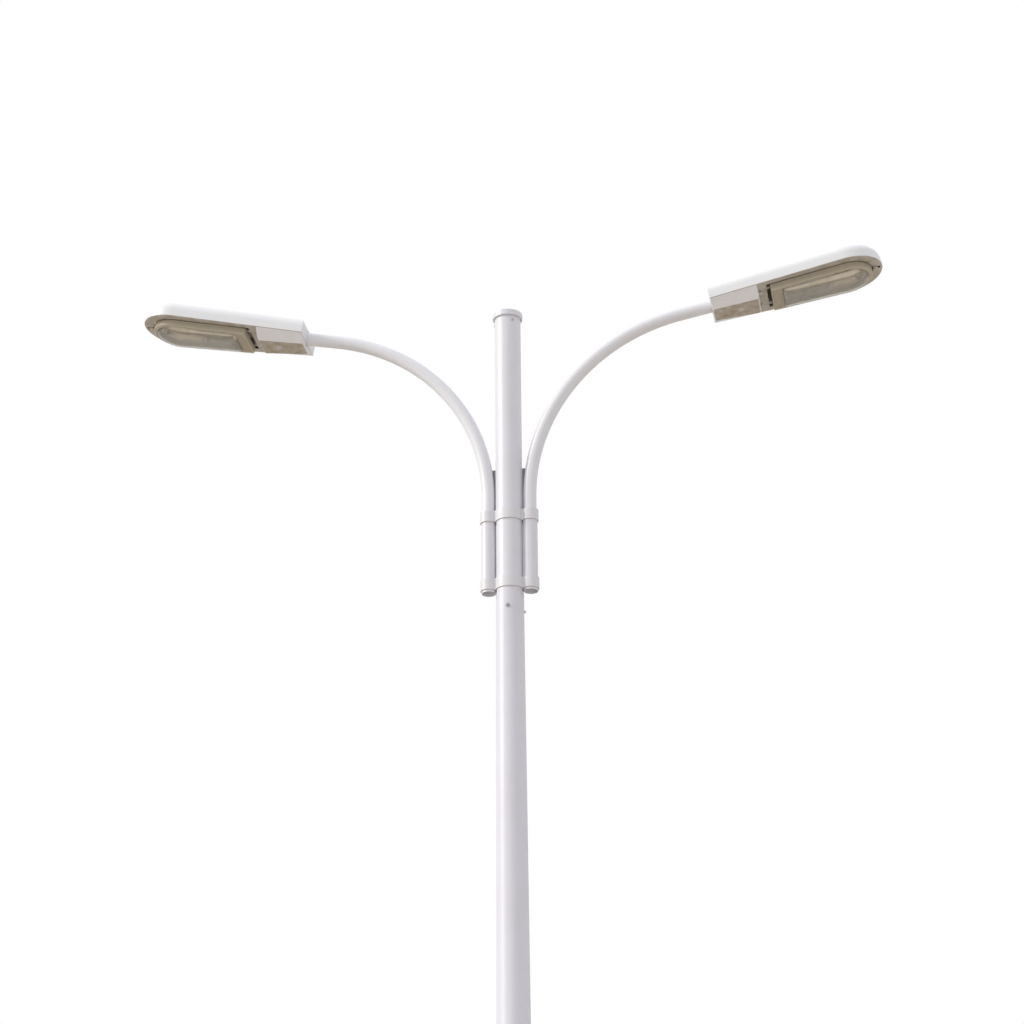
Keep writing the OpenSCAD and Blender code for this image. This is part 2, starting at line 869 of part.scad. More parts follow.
module lens_frame() {
  opening_x = frame_x + frame_bar_w;
  rib_pitch = 11;
  rib_w = 5;
  color(beige) difference() {
    union() {
      between(-frame_depth, frame_top_z) nosed_outline(lens_plan, 0, frame_x);
      for (s = [-1, 1])
        translate([0, s * (lens_ear_y + ear_t + part_gap), 0]) {
          translate([lens_pin_x, 0, lens_pin_z]) rod_y(ear_r, ear_t);
          translate([lens_pin_x, -ear_t / 2, lens_pin_z - ear_r])
            cube([frame_x + 4 - lens_pin_x, ear_t, ear_r]);
        }
    }
    translate([lens_pin_x, 0, lens_pin_z]) rod_y(pin_bore_r, 2 * frame_nose_r);
    between(-frame_depth - eps, frame_top_z + eps)
      nosed_outline(lens_plan, frame_side_w, opening_x);
    between(glass_seat_z, frame_top_z + eps)
      nosed_outline(lens_plan, frame_side_w - glass_rim_w - tube_clear,
        opening_x - glass_rim_w - tube_clear);
    for (k = [0:3])
      translate([frame_x + 6 + k * rib_pitch, -frame_rear_y + 18, -frame_depth - eps])
        cube([rib_w, 2 * frame_rear_y - 36, 4 + eps]);
    translate([catch_rest_x - catch_travel - part_gap, -catch_w / 2 - 1,
      catch_top_z - catch_t - part_gap])
      cube([tongue_reach + catch_travel + 4, catch_w + 2, catch_t + 2 * part_gap]);
  }
}

module lens_frame_right() {
  on_luminaire(RIGHT) lens_frame();
}

module lens_frame_left() {
  on_luminaire(LEFT) lens_frame();
}

// The bowl drawn in by skin, from the seat down
module bowl_form(skin) {
  inset = frame_side_w + tube_clear;
  rear = frame_x + frame_bar_w + tube_clear;
  hull() {
    between(glass_seat_z - 1, glass_seat_z)
      nosed_outline(lens_plan, inset + skin, rear + skin, $fn = 48);
    for (u = [0, 30, 60, 90]) {
      low = frame_depth + (bowl_depth - frame_depth) * sin(u) - skin;
      between(-low, -low + 1)
        nosed_outline(lens_plan, inset + skin + 46 * (1 - cos(u)),
          rear + skin + 46 * (1 - cos(u)), $fn = 48);
    }
  }
}

module lens_glass() {
  rim_top = glass_seat_z + glass_t;
  color("lightsteelblue") difference() {
    union() {
      between(glass_seat_z, rim_top)
        nosed_outline(lens_plan, frame_side_w - glass_rim_w,
          frame_x + frame_bar_w - glass_rim_w);
      bowl_form(0);
    }
    bowl_form(glass_t);
    between(glass_seat_z - 1 - eps, rim_top + eps)
      nosed_outline(lens_plan, frame_side_w + tube_clear + glass_t,
        frame_x + frame_bar_w + tube_clear + glass_t);
  }
}

module lens_glass_right() {
  on_luminaire(RIGHT) lens_glass();
}

module lens_glass_left() {
  on_luminaire(LEFT) lens_glass();
}

module lens_gasket() {
  color(dark) between(frame_top_z, frame_top_z + gasket_t) difference() {
    hull() nosed_outline(lens_plan, 4, frame_x + 10);
    hull() nosed_outline(lens_plan, 11, frame_x + frame_bar_w - 18);
  }
}

module lens_gasket_right() {
  on_luminaire(RIGHT) lens_gasket();
}

module lens_gasket_left() {
  on_luminaire(LEFT) lens_gasket();
}

// The catch slides along the lip at the nose. It is drawn back at rest, and
// its tongue enters the frame's pocket as it moves in.
module lens_catch() {
  pad_l = 22;
  pad_x = frame_tip_x + 1 + catch_travel;
  pad_t = 4;
  pad_z = -part_gap - pad_t;
  color(beige) {
    translate([pad_x, -catch_w / 2, pad_z]) cube([pad_l, catch_w, pad_t]);
    translate([pad_x, -catch_w / 2, catch_top_z - catch_t])
      cube([4, catch_w, pad_z - catch_top_z + catch_t + eps]);
    translate([catch_rest_x, -catch_w / 2, catch_top_z - catch_t])
      cube([tongue_reach + eps, catch_w, catch_t]);
    translate([catch_slot_x + catch_travel + part_gap, -catch_neck_w / 2, pad_z])
      cube([8, catch_neck_w, pad_t + lip_t + 2 * part_gap + eps]);
    translate([catch_slot_x + catch_travel + part_gap - 4, -catch_neck_w / 2 - 4,
      lip_t + part_gap]) cube([14, catch_neck_w + 8, 2]);
  }
}

module lens_catch_right() {
  on_luminaire(RIGHT) lens_catch();
}

module lens_catch_left() {
  on_luminaire(LEFT) lens_catch();
}

// ---------------------------------------------------------------- arm clamp

module saddle_clamp() {
  strap_top_z = spigot_up - 9;
  color(steel) difference() {
    translate([saddle_x - saddle_l / 2, -saddle_bolt_y - 10, saddle_bottom_z])
      cube([saddle_l, 2 * saddle_bolt_y + 20, strap_top_z - saddle_bottom_z]);
    translate([0, 0, spigot_up]) rod_x(arm_d / 2 + band_clear, arm_spigot);
    for (s = [-1, 1])
      translate([saddle_x, s * saddle_bolt_y, saddle_bottom_z - eps])
        cylinder(r = saddle_bolt_d / 2 + tube_clear, h = strap_top_z - saddle_bottom_z + 2 * eps);
  }
}

module saddle_clamp_right() {
  on_luminaire(RIGHT) saddle_clamp();
}

module saddle_clamp_left() {
  on_luminaire(LEFT) saddle_clamp();
}

module saddle_bolts() {
  bolt_l = 36;
  color(steel) both_sides() on_luminaire(RIGHT) for (s = [-1, 1])
    translate([saddle_x, s * saddle_bolt_y, saddle_bottom_z]) {
      cylinder(d = saddle_bolt_d, h = bolt_l);
      translate([0, 0, -4]) hexagon(13, 4);
    }
}

module luminaire_hinge_pins() {
  play = 0.5;
  pin_l = 2 * ear_t + 2 * part_gap + 2;
  color(steel) both_sides() on_luminaire(RIGHT) for (s = [-1, 1]) {
    translate([lens_pin_x, s * (lens_ear_y + ear_t / 2 + play / 2), lens_pin_z])
      rod_y(pin_r, pin_l);
    translate([cover_pin_x, s * (cover_ear_y + ear_t / 2 + play / 2), cover_pin_z])
      rod_y(pin_r, pin_l);
  }
}

// ---------------------------------------------------------------- control gear

ballast_size = [66, 62, 52];
ignitor_size = [70, 34, 30];
terminal_size = [40, 22, 20];
capacitor_r = 18;
capacitor_l = 84;
screw_slot_w = 5;
screw_slot_l = 25;

module gear_tray() {
  notch_y = saddle_bolt_y + 12;
  color(shade) between(tray_z, tray_top_z) difference() {
    intersection() {
      nosed_outline(canopy_plan, canopy_wall + 3, 34);
      translate([34, -canopy_nose_r]) square([bar_rear_x - 36, 2 * canopy_nose_r]);
    }
    translate([0, -notch_y]) square([arm_spigot + 6, 2 * notch_y]);
    translate([screw_x, 0]) {
      circle(screw_d / 2 + 2);
      square([screw_slot_l, screw_slot_w], center = true);
    }
  }
}

module gear_tray_right() {
  on_luminaire(RIGHT) gear_tray();
}

module gear_tray_left() {
  on_luminaire(LEFT) gear_tray();
}

module ballast() {
  start_x = bar_rear_x - 8 - ballast_size[0];
  core = [ballast_size[0] - 16, ballast_size[1] + 8, ballast_size[2] - 16];
  color(dark) {
    translate([start_x, -ballast_size[1] / 2, tray_top_z]) cube(ballast_size);
    translate([start_x + 8, -core[1] / 2, tray_top_z + 8]) cube(core);
  }
}

module ballast_right() {
  on_luminaire(RIGHT) ballast();
}

module ballast_left() {
  on_luminaire(LEFT) ballast();
}

module ignitor() {
  color("lightgray") translate([screw_x, 56, tray_top_z]) {
    cube(ignitor_size);
    translate([ignitor_size[0], ignitor_size[1] / 2, 15]) rod_x(4, 7);
  }
}

module ignitor_right() {
  on_luminaire(RIGHT) ignitor();
}

module ignitor_left() {
  on_luminaire(LEFT) ignitor();
}

module capacitor() {
  color("silver") translate([screw_x - 14, -70, tray_top_z + capacitor_r]) {
    rod_x(capacitor_r, capacitor_l);
    translate([-6, 0, 0]) rod_x(5, 6 + eps);
  }
}

module capacitor_right() {
  on_luminaire(RIGHT) capacitor();
}

module capacitor_left() {
  on_luminaire(LEFT) capacitor();
}

module terminal_block() {
  ways = 3;
  way = terminal_size[0] / ways;
  color("ivory") translate([60, 74, tray_top_z]) difference() {
    cube(terminal_size);
    for (k = [0:ways - 1])
      translate([(k + 0.5) * way, terminal_size[1] / 2, terminal_size[2] - 8])
        cylinder(r = 4, h = 8 + eps);
  }
}

module terminal_block_right() {
  on_luminaire(RIGHT) terminal_block();
}

module terminal_block_left() {
  on_luminaire(LEFT) terminal_block();
}

// ---------------------------------------------------------------- gear cover

cover_rear_x = 1;
cover_edge = 4;

// A tapered trough from its flat rim at top_z down to the sloping bottom,
// drawn in by skin
module cover_form(skin, top_z) {
  chamfer = 9;
  x0 = cover_rear_x + skin;
  x1 = cover_l - skin;
  rear_top = half_width(canopy_plan, x0) - cover_edge - 1.3 * skin;
  front_top = half_width(canopy_plan, x1) - cover_edge - 1.3 * skin;
  rear_y = cover_rear_y - 0.3 * skin;
  front_y = cover_front_y - 0.3 * skin;
  low_rear = -cover_rear_z + skin;
  low_front = -cover_front_z + skin;
  sections = [
    [x0, rear_top, top_z], [x1, front_top, top_z],
    [x0 + 3, rear_y, low_rear], [x1 - chamfer, front_y, low_front],
    [x1, front_y + 8, low_front + chamfer]];
  hull() polyhedron(
    points = [for (s = sections, v = [-1, 1]) [s[0], v * s[1], s[2]]],
    faces = [for (k = [0:2:6]) [k, k + 1, k + 3], for (k = [0:2:6]) [k, k + 3, k + 2]]);
}

module gear_cover() {
  boss_r = 16;
  recess_r = 12;
  floor_z = cover_floor_z();
  knuckle_y = cover_ear_y + ear_t + part_gap;
  color(shade) difference() {
    union() {
      difference() {
        cover_form(0, -part_gap);
        cover_form(cover_wall, 1);
      }
      translate([screw_x, 0, floor_z + 1.5]) cylinder(r = boss_r, h = 12);
      for (s = [-1, 1]) translate([0, s * knuckle_y, 0]) {
        translate([cover_pin_x, 0, cover_pin_z]) rod_y(ear_r, ear_t);
        translate([cover_l - 2, -ear_t / 2, cover_pin_z - ear_r])
          cube([cover_pin_x - cover_l + 2, ear_t, 2 * ear_r]);
      }
    }
    translate([cover_pin_x, 0, cover_pin_z]) rod_y(pin_bore_r, 3 * knuckle_y);
    translate([screw_x, 0, floor_z - 4]) cylinder(r = recess_r, h = 12);
    translate([screw_x, 0, floor_z]) cylinder(r = screw_d / 2 + run_clear, h = 30);
    translate([-5, 0, spigot_up]) rod_x(arm_d / 2 + 2, 20);
  }
}

// Height of the cover's bottom face under the captive screw
function cover_floor_z() = -cover_rear_z
  - (cover_front_z - cover_rear_z) * (screw_x - cover_rear_x) / (cover_l - cover_rear_x);

module gear_cover_right() {
  on_luminaire(RIGHT) gear_cover();
}

module gear_cover_left() {
  on_luminaire(LEFT) gear_cover();
}

// The captive screw: its cross pin lies along the tray's slot at rest, so that
// the cover is free, and a quarter turn locks it above the tray
module gear_cover_screw() {
  head_h = 5;
  seat_z = cover_floor_z() + 8;
  pin_z = tray_top_z + 2.5;
  color(steel) translate([screw_x, 0, 0]) {
    difference() {
      translate([0, 0, seat_z - head_h - part_gap / 5]) cylinder(r = 9, h = head_h);
      translate([-7, -1, seat_z - head_h - eps]) cube([14, 2, 2 + eps]);
    }
    translate([0, 0, seat_z - 1]) cylinder(d = screw_d, h = pin_z + 3 - seat_z);
    translate([-10, 0, pin_z]) rod_x(1.5, 20);
  }
}

module gear_cover_screw_right() {
  on_luminaire(RIGHT) gear_cover_screw();
}

module gear_cover_screw_left() {
  on_luminaire(LEFT) gear_cover_screw();
}

// ---------------------------------------------------------------- assembly

pole_shaft();
base_plate();
base_gussets();
door_frame();
access_door();
door_hinge_pins();
door_lock_barrel();
door_lock_cam();
fuse_board();
fuse_bases();
fuse_carriers();
earth_bolt();
head_tube();
head_set_bolts();
head_cap();
cap_screws();
upper_band();
lower_band();
sleeve_left();
sleeve_right();
web_left();
web_right();
arm_set_screws();
arm_left();
arm_right();
saddle_bolts();
luminaire_hinge_pins();
canopy_left();
canopy_right();
reflector_left();
reflector_right();
lamp_left();
lamp_right();
lampholder_left();
lampholder_right();
lens_frame_left();
lens_frame_right();
lens_glass_left();
lens_glass_right();
lens_gasket_left();
lens_gasket_right();
lens_catch_left();
lens_catch_right();
saddle_clamp_left();
saddle_clamp_right();
gear_tray_left();
gear_tray_right();
ballast_left();
ballast_right();
ignitor_left();
ignitor_right();
capacitor_left();
capacitor_right();
terminal_block_left();
terminal_block_right();
gear_cover_left();
gear_cover_right();
gear_cover_screw_left();
gear_cover_screw_right();
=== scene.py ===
"""Looks of a twin-arm street light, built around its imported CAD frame.

Every sub-assembly is a class that holds its sizes in metres, builds its
meshes in place and dresses them in a procedural finish. A luminaire is built
in its own frame (x outward along the arm, z up from the parting face) and is
then laid onto its arm.
"""
import json
import logging
import math
from dataclasses import dataclass
from enum import Enum
from typing import Any, Optional, Sequence

import bmesh
import bpy
from mathutils import Matrix, Vector


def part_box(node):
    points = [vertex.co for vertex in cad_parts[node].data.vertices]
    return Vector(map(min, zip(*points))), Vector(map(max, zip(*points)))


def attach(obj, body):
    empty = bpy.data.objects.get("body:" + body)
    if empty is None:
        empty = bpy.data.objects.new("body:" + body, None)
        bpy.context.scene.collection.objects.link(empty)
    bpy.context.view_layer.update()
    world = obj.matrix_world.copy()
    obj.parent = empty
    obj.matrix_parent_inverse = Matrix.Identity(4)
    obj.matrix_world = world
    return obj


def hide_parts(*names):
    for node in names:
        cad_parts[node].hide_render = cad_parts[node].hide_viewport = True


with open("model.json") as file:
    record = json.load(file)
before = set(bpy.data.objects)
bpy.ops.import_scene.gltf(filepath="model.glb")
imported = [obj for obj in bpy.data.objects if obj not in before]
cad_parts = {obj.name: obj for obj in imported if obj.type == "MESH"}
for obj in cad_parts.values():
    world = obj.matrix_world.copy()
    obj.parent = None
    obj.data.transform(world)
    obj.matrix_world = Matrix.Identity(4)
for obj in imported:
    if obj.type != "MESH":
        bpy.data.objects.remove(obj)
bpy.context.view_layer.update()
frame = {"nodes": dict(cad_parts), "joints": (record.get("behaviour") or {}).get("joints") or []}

log = logging.getLogger("street_light")

RGB = tuple[float, float, float]
Point2 = tuple[float, float]
Loop = list[Vector]
Mesh = bmesh.types.BMesh
Piece = bpy.types.Object
Node = bpy.types.Node
Socket = bpy.types.NodeSocket
MM = 0.001
SCREW_POINTS = 24
BEAD_PITCH = 0.62


class Side(Enum):
    """The two arms of the light, with the sign of X on that side."""

    RIGHT = 1
    LEFT = -1

    @property
    def tag(self) -> str:
        """The word that ends the names of this side's pieces."""
        return self.name.lower()


class Body(Enum):
    """The bodies of the frame that pieces ride on. A {} takes the side."""

    COLUMN = "column"
    DOOR = "access_door"
    LOCK = "door_lock"
    LENS = "lens_{}"
    CATCH = "lens_catch_{}"
    COVER = "gear_cover_{}"
    COVER_SCREW = "gear_cover_screw_{}"

    def on(self, side: Optional[Side] = None) -> str:
        """The body's name, on one side where it has two."""
        return self.value.format(side.tag if side else "")


# ---------------------------------------------------------------- finishes


class NodeBench:
    """Adds and links the nodes of one tree."""

    def __init__(self, tree: bpy.types.NodeTree) -> None:
        """Keeps the tree that nodes are added to."""
        self.tree = tree

    def add(self, kind: str, inputs: Optional[dict[Any, Any]] = None, **settings: Any) -> Node:
        """Adds a node.

        Args:
            kind: The node's type name.
            inputs: Values or sockets for its inputs, by name or number.
            settings: Attributes of the node itself.

        Returns:
            The new node.
        """
        node = self.tree.nodes.new(kind)
        for key, value in settings.items():
            setattr(node, key, value)
        for key, value in (inputs or {}).items():
            if isinstance(value, Socket):
                self.tree.links.new(value, node.inputs[key])
            else:
                node.inputs[key].default_value = value
        return node

    def noise(self, vector: Socket, scale: float, detail: float = 4.0) -> Socket:
        """A noise value from 0 to 1 over a vector."""
        node = self.add("ShaderNodeTexNoise", {"Vector": vector, "Scale": scale, "Detail": detail})
        return node.outputs["Fac"]

    def ranged(self, value: Socket, low: float, high: float,
               to_low: float = 0.0, to_high: float = 1.0) -> Socket:
        """A value mapped from low..high to another range and held there."""
        node = self.add("ShaderNodeMapRange", {
            "Value": value, "From Min": low, "From Max": high, "To Min": to_low, "To Max": to_high})
        return node.outputs["Result"]

    def times(self, a: Socket, b: Any) -> Socket:
        """The product of two values, held to 0..1."""
        return self.reckon("MULTIPLY", a, b, held=True)

    def plus(self, a: Socket, b: Any) -> Socket:
        """The sum of two values, held to 0..1."""
        return self.reckon("ADD", a, b, held=True)

    def reckon(self, operation: str, a: Any, b: Any, held: bool = False) -> Socket:
        """One step of arithmetic on two values, held to 0..1 if asked."""
        node = self.add("ShaderNodeMath", {0: a, 1: b}, operation=operation, use_clamp=held)
        return node.outputs[0]

    def blend(self, share: Socket, a: Any, b: Any) -> Socket:
        """Two colours mixed by a share, from a to b."""
        node = self.add("ShaderNodeMix", data_type="RGBA")
        self.tree.links.new(share, node.inputs["Factor"])
        for socket, colour in ((node.inputs[6], a), (node.inputs[7], b)):
            if isinstance(colour, Socket):
                self.tree.links.new(colour, socket)
            else:
                socket.default_value = (*colour, 1.0)
        return node.outputs[2]

    def bump(self, height: Socket, depth: float, strength: float = 1.0,
             under: Optional[Socket] = None) -> Socket:
        """A normal bumped by a height over a depth in metres."""
        inputs: dict[Any, Any] = {"Height": height, "Distance": depth, "Strength": strength}
        if under is not None:
            inputs["Normal"] = under
        return self.add("ShaderNodeBump", inputs).outputs["Normal"]

    def feed(self, shader: Node, name: str, source: Socket) -> None:
        """Links a socket to one of a shader's inputs."""
        self.tree.links.new(source, shader.inputs[name])


@dataclass(frozen=True)
class Finish:
    """What every finish has: a name, a colour and a roughness."""

    name: str
    colour: RGB
    roughness: float

    def material(self) -> bpy.types.Material:
        """The material of this finish, made on first use."""
        made = bpy.data.materials.get(self.name)
        if made is None:
            made = bpy.data.materials.new(self.name)
            made.use_nodes = True
            made.diffuse_color = (*self.colour, 1.0)
            bench = NodeBench(made.node_tree)
            shader = made.node_tree.nodes["Principled BSDF"]
            shader.inputs["Base Color"].default_value = (*self.colour, 1.0)
            shader.inputs["Roughness"].default_value = self.roughness
            coordinates = bench.add("ShaderNodeTexCoord")
            self.wire(bench, shader, coordinates)
        return made

    def wire(self, bench: NodeBench, shader: Node, coordinates: Node) -> None:
        """Adds the finish's own nodes. The plain finish has none."""


@dataclass(frozen=True)
class Paint(Finish):
    """Sprayed paint with orange peel, faint mottling, rain streaks and painted shade.

    The painted shade darkens faces that look down, in blotches, towards a dusty brown.
    """

    # The brown that the mottling, the streaks and the painted shade on faces that look down all tend
    # towards.
    dust: RGB = (0.34, 0.29, 0.22)
    mottle: float = 0.12
    streaks: float = 0.12
    # How far faces that look down are darkened: painted shade.
    under_dust: float = 0.5
    blotch: float = 7.0
    peel: float = 1.0
    # How much faces that look along Y are spared that painted shade.
    clean_sides: float = 0.0

    def wire(self, bench: NodeBench, shader: Node, coordinates: Node) -> None:
        """Mixes mottling and streaks into the paint by place, and painted shade by which way a face looks.
        """
        place = coordinates.outputs["Object"]
        cloud = bench.ranged(bench.noise(place, self.blotch, 6.0), 0.42, 0.72, 0.0, self.mottle)
        drawn_out = bench.add("ShaderNodeMapping", {"Vector": place, "Scale": (38.0, 38.0, 1.3)})
        streak = bench.ranged(bench.noise(drawn_out.outputs[0], 1.0, 3.0), 0.5, 0.78, 0.0, self.streaks)
        normal = bench.add("ShaderNodeSeparateXYZ", {0: coordinates.outputs["Normal"]}).outputs
        # Painted shade: faces that look down are darkened towards the same brown as the mottling, in
        # patches, less where they look along Y.
        down = bench.ranged(normal["Z"], -0.45, -0.92)
        patchy = bench.ranged(bench.noise(place, self.blotch * 2.6, 8.0), 0.3, 0.68, 0.72, 1.0)
        sideways = bench.add("ShaderNodeMath", {0: normal["Y"]}, operation="ABSOLUTE").outputs[0]
        shade_kept_off = bench.ranged(sideways, 0.16, 0.3, 1.0, 1.0 - self.clean_sides)
        under = bench.times(bench.times(bench.times(down, patchy), shade_kept_off), self.under_dust)
        share = bench.plus(bench.plus(cloud, streak), under)
        bench.feed(shader, "Base Color", bench.blend(share, self.colour, self.dust))
        rough = bench.ranged(share, 0.0, 0.6, self.roughness, min(0.9, self.roughness + 0.3))
        bench.feed(shader, "Roughness", rough)
        fine = bench.bump(bench.noise(place, 420.0, 2.0), 0.00012 * self.peel, 0.6)
        wavy = bench.bump(bench.noise(place, 34.0, 3.0), 0.0006 * self.peel, 0.25, fine)
        bench.feed(shader, "Normal", wavy)
        shader.inputs["Coat Weight"].default_value = 0.12
        shader.inputs["Coat Roughness"].default_value = 0.25


@dataclass(frozen=True)
class Metal(Finish):
    """Bare or plated metal with a grain and a dull film in patches."""

    film: RGB = (0.3, 0.3, 0.3)
    grain: RGB = (60.0, 60.0, 60.0)
    film_share: float = 0.3
    relief: float = 0.0001

    def wire(self, bench: NodeBench, shader: Node, coordinates: Node) -> None:
        """Lays a film over the metal and a fine grain into its surface."""
        place = coordinates.outputs["Object"]
        shader.inputs["Metallic"].default_value = 1.0
        patches = bench.ranged(bench.noise(place, 22.0, 6.0), 0.4, 0.7, 0.0, self.film_share)
        bench.feed(shader, "Base Color", bench.blend(patches, self.colour, self.film))
        stretched = bench.add("ShaderNodeMapping", {"Vector": place, "Scale": self.grain})
        grain = bench.noise(stretched.outputs[0], 8.0, 4.0)
        rough = bench.ranged(grain, 0.3, 0.7, self.roughness * 0.8, min(1.0, self.roughness * 1.35))
        bench.feed(shader, "Roughness", rough)
        bench.feed(shader, "Normal", bench.bump(grain, self.relief, 0.5))


@dataclass(frozen=True)
class Spangle(Finish):
    """Hot-dip galvanising: crystals of zinc in several greys."""

    pale: RGB = (0.66, 0.68, 0.7)
    crystal: float = 60.0

    def wire(self, bench: NodeBench, shader: Node, coordinates: Node) -> None:
        """Colours each crystal and dulls it by its own amount."""
        place = coordinates.outputs["Object"]
        shader.inputs["Metallic"].default_value = 0.85
        warp = bench.add("ShaderNodeTexNoise", {"Vector": place, "Scale": 40.0})
        bent = bench.add("ShaderNodeMixRGB", {0: 0.03, 1: place, 2: warp.outputs["Color"]})
        cells = bench.add("ShaderNodeTexVoronoi", {"Vector": bent.outputs[0], "Scale": self.crystal})
        tone = bench.add("ShaderNodeSeparateColor", {0: cells.outputs["Color"]}).outputs[0]
        bench.feed(shader, "Base Color", bench.blend(tone, self.colour, self.pale))
        rough = bench.ranged(tone, 0.0, 1.0, self.roughness - 0.08, self.roughness + 0.12)
        bench.feed(shader, "Roughness", rough)
        fine = bench.noise(place, 300.0, 3.0)
        bench.feed(shader, "Normal", bench.bump(fine, 0.0001, 0.4))


@dataclass(frozen=True)
class Moulded(Finish):
    """Plastic, rubber or ceramic: a speckled body with a fine surface."""

    speck: RGB = (0.5, 0.5, 0.5)
    speck_share: float = 0.25
    speck_scale: float = 90.0
    relief: float = 0.0001
    gloss: float = 0.4

    def wire(self, bench: NodeBench, shader: Node, coordinates: Node) -> None:
        """Speckles the body and pebbles its surface."""
        place = coordinates.outputs["Object"]
        specks = bench.ranged(bench.noise(place, self.speck_scale, 5.0), 0.45, 0.75, 0.0, self.speck_share)
        bench.feed(shader, "Base Color", bench.blend(specks, self.colour, self.speck))
        pebble = bench.noise(place, 480.0, 3.0)
        bench.feed(shader, "Normal", bench.bump(pebble, self.relief, 0.5))
        rough = bench.ranged(pebble, 0.3, 0.7, self.roughness - 0.05, self.roughness + 0.08)
        bench.feed(shader, "Roughness", rough)
        shader.inputs["Specular IOR Level"].default_value = self.gloss


@dataclass(frozen=True)
class Laminate(Finish):
    """Varnished laminate board with a long fibre grain."""

    vein: RGB = (0.22, 0.13, 0.07)

    def wire(self, bench: NodeBench, shader: Node, coordinates: Node) -> None:
        """Draws the fibres along Z and sinks them a little."""
        long = bench.add("ShaderNodeMapping", {
            "Vector": coordinates.outputs["Object"], "Scale": (160.0, 160.0, 6.0)})
        fibre = bench.noise(long.outputs[0], 1.0, 6.0)
        share = bench.ranged(fibre, 0.35, 0.7)
        bench.feed(shader, "Base Color", bench.blend(share, self.colour, self.vein))
        bench.feed(shader, "Normal", bench.bump(fibre, 0.0002, 0.3))
        shader.inputs["Coat Weight"].default_value = 0.4


@dataclass(frozen=True)
class Glass(Finish):
    """Clear glass under a thin dusty film that lies in patches."""

    clearness: float = 1.0
    film: RGB = (0.55, 0.52, 0.45)
    film_share: float = 0.12

    def wire(self, bench: NodeBench, shader: Node, coordinates: Node) -> None:
        """Adds a dull film over the clear glass."""
        place = coordinates.outputs["Object"]
        shader.inputs["IOR"].default_value = 1.5
        patches = bench.noise(place, 9.0, 7.0)
        film = bench.ranged(patches, 0.35, 0.75, self.film_share * 0.35, self.film_share)
        clear = bench.ranged(film, 0.0, 1.0, self.clearness, 0.0)
        bench.feed(shader, "Transmission Weight", clear)
        bench.feed(shader, "Base Color", bench.blend(film, self.colour, self.film))
        wave = bench.noise(place, 26.0, 2.0)
        bench.feed(shader, "Normal", bench.bump(wave, 0.0008, 0.15))


# These whites stand for one white paint. Their blue-lavender tint is painted light for the bluish light in
# shade, and each part's white is set lighter or darker to match how light falls on it, the canopy, cover
# and arms paler than the pole, head and bands: painted light and shade.
COLUMN_PAINT = Paint("column_white_paint", (0.735, 0.73, 0.80), 0.38, mottle=0.05, streaks=0.07,
                     under_dust=0.3)
HEAD_PAINT = Paint("head_white_paint", (0.75, 0.745, 0.805), 0.36, mottle=0.04, streaks=0.05,
                   under_dust=0.35)
ARM_PAINT = Paint("arm_white_paint", (0.80, 0.80, 0.845), 0.34, mottle=0.04, streaks=0.03, under_dust=0.32)
BAND_PAINT = Paint("band_white_paint", (0.74, 0.735, 0.775), 0.4, mottle=0.07, streaks=0.05,
                   under_dust=0.55)
# The canopy and the gear cover carry the heaviest painted shade on faces that look down, in a dark brown;
# the cover's faces that look along Y are kept almost free of it.
CANOPY_PAINT = Paint("canopy_white_paint", (0.825, 0.835, 0.86), 0.3, mottle=0.03, streaks=0.0,
                     under_dust=0.88, blotch=9.0, dust=(0.28, 0.225, 0.15))
COVER_PAINT = Paint("cover_grey_paint", (0.80, 0.79, 0.82), 0.42, mottle=0.08, streaks=0.0,
                    under_dust=0.92, blotch=13.0, dust=(0.27, 0.21, 0.13), clean_sides=0.9)
# The lens frame is white paint like the canopy; its dark taupe base colour is painted shade for the shade
# under the luminaire.
SHADED_FRAME_PAINT = Paint("frame_dusty_paint", (0.47, 0.42, 0.33), 0.5, mottle=0.22, streaks=0.0,
                    under_dust=0.45, blotch=16.0, dust=(0.40, 0.34, 0.25), peel=1.8)
# The webs are painted white like the head tube; this dark grey is painted shade for the shadow between the
# tubes.
SHADED_WEB_PAINT = Paint("web_grey_primer", (0.20, 0.20, 0.22), 0.62, mottle=0.2, streaks=0.1, under_dust=0.2)
ZINC = Spangle("galvanised_zinc", (0.47, 0.49, 0.51), 0.46)
STEEL = Metal("satin_stainless", (0.62, 0.62, 0.63), 0.34, film=(0.34, 0.32, 0.3), film_share=0.25)
CASTING = Metal("zinc_plated_casting", (0.46, 0.46, 0.48), 0.55, film=(0.25, 0.24, 0.22),
                film_share=0.4, relief=0.0003)
BRASS = Metal("satin_brass", (0.74, 0.56, 0.27), 0.36, film=(0.33, 0.24, 0.12), film_share=0.3)
CAN = Metal("drawn_aluminium_can", (0.74, 0.75, 0.76), 0.32, grain=(300.0, 20.0, 20.0), film_share=0.15)
MIRROR = Metal("bright_anodised_sheet", (0.83, 0.78, 0.69), 0.2, film=(0.44, 0.38, 0.29),
               grain=(16.0, 220.0, 220.0), film_share=0.45, relief=0.00006)
BOWL_GLASS = Glass("bowl_glass", (0.985, 0.965, 0.92), 0.03, film=(0.6, 0.5, 0.36), film_share=0.15)
LAMP_GLASS = Glass("lamp_glass", (0.97, 0.96, 0.93), 0.24, clearness=0.3, film=(0.93, 0.91, 0.85),
                   film_share=0.3)
LAMP_CORE = Moulded("arc_tube_ceramic", (0.93, 0.92, 0.88), 0.35, speck=(0.75, 0.72, 0.65), speck_share=0.1)
RUBBER = Moulded("black_rubber", (0.035, 0.035, 0.035), 0.7, speck=(0.1, 0.095, 0.085), speck_share=0.4)
CERAMIC = Moulded("glazed_ceramic", (0.83, 0.81, 0.75), 0.22, speck=(0.6, 0.56, 0.48), speck_share=0.2,
                  gloss=0.6)
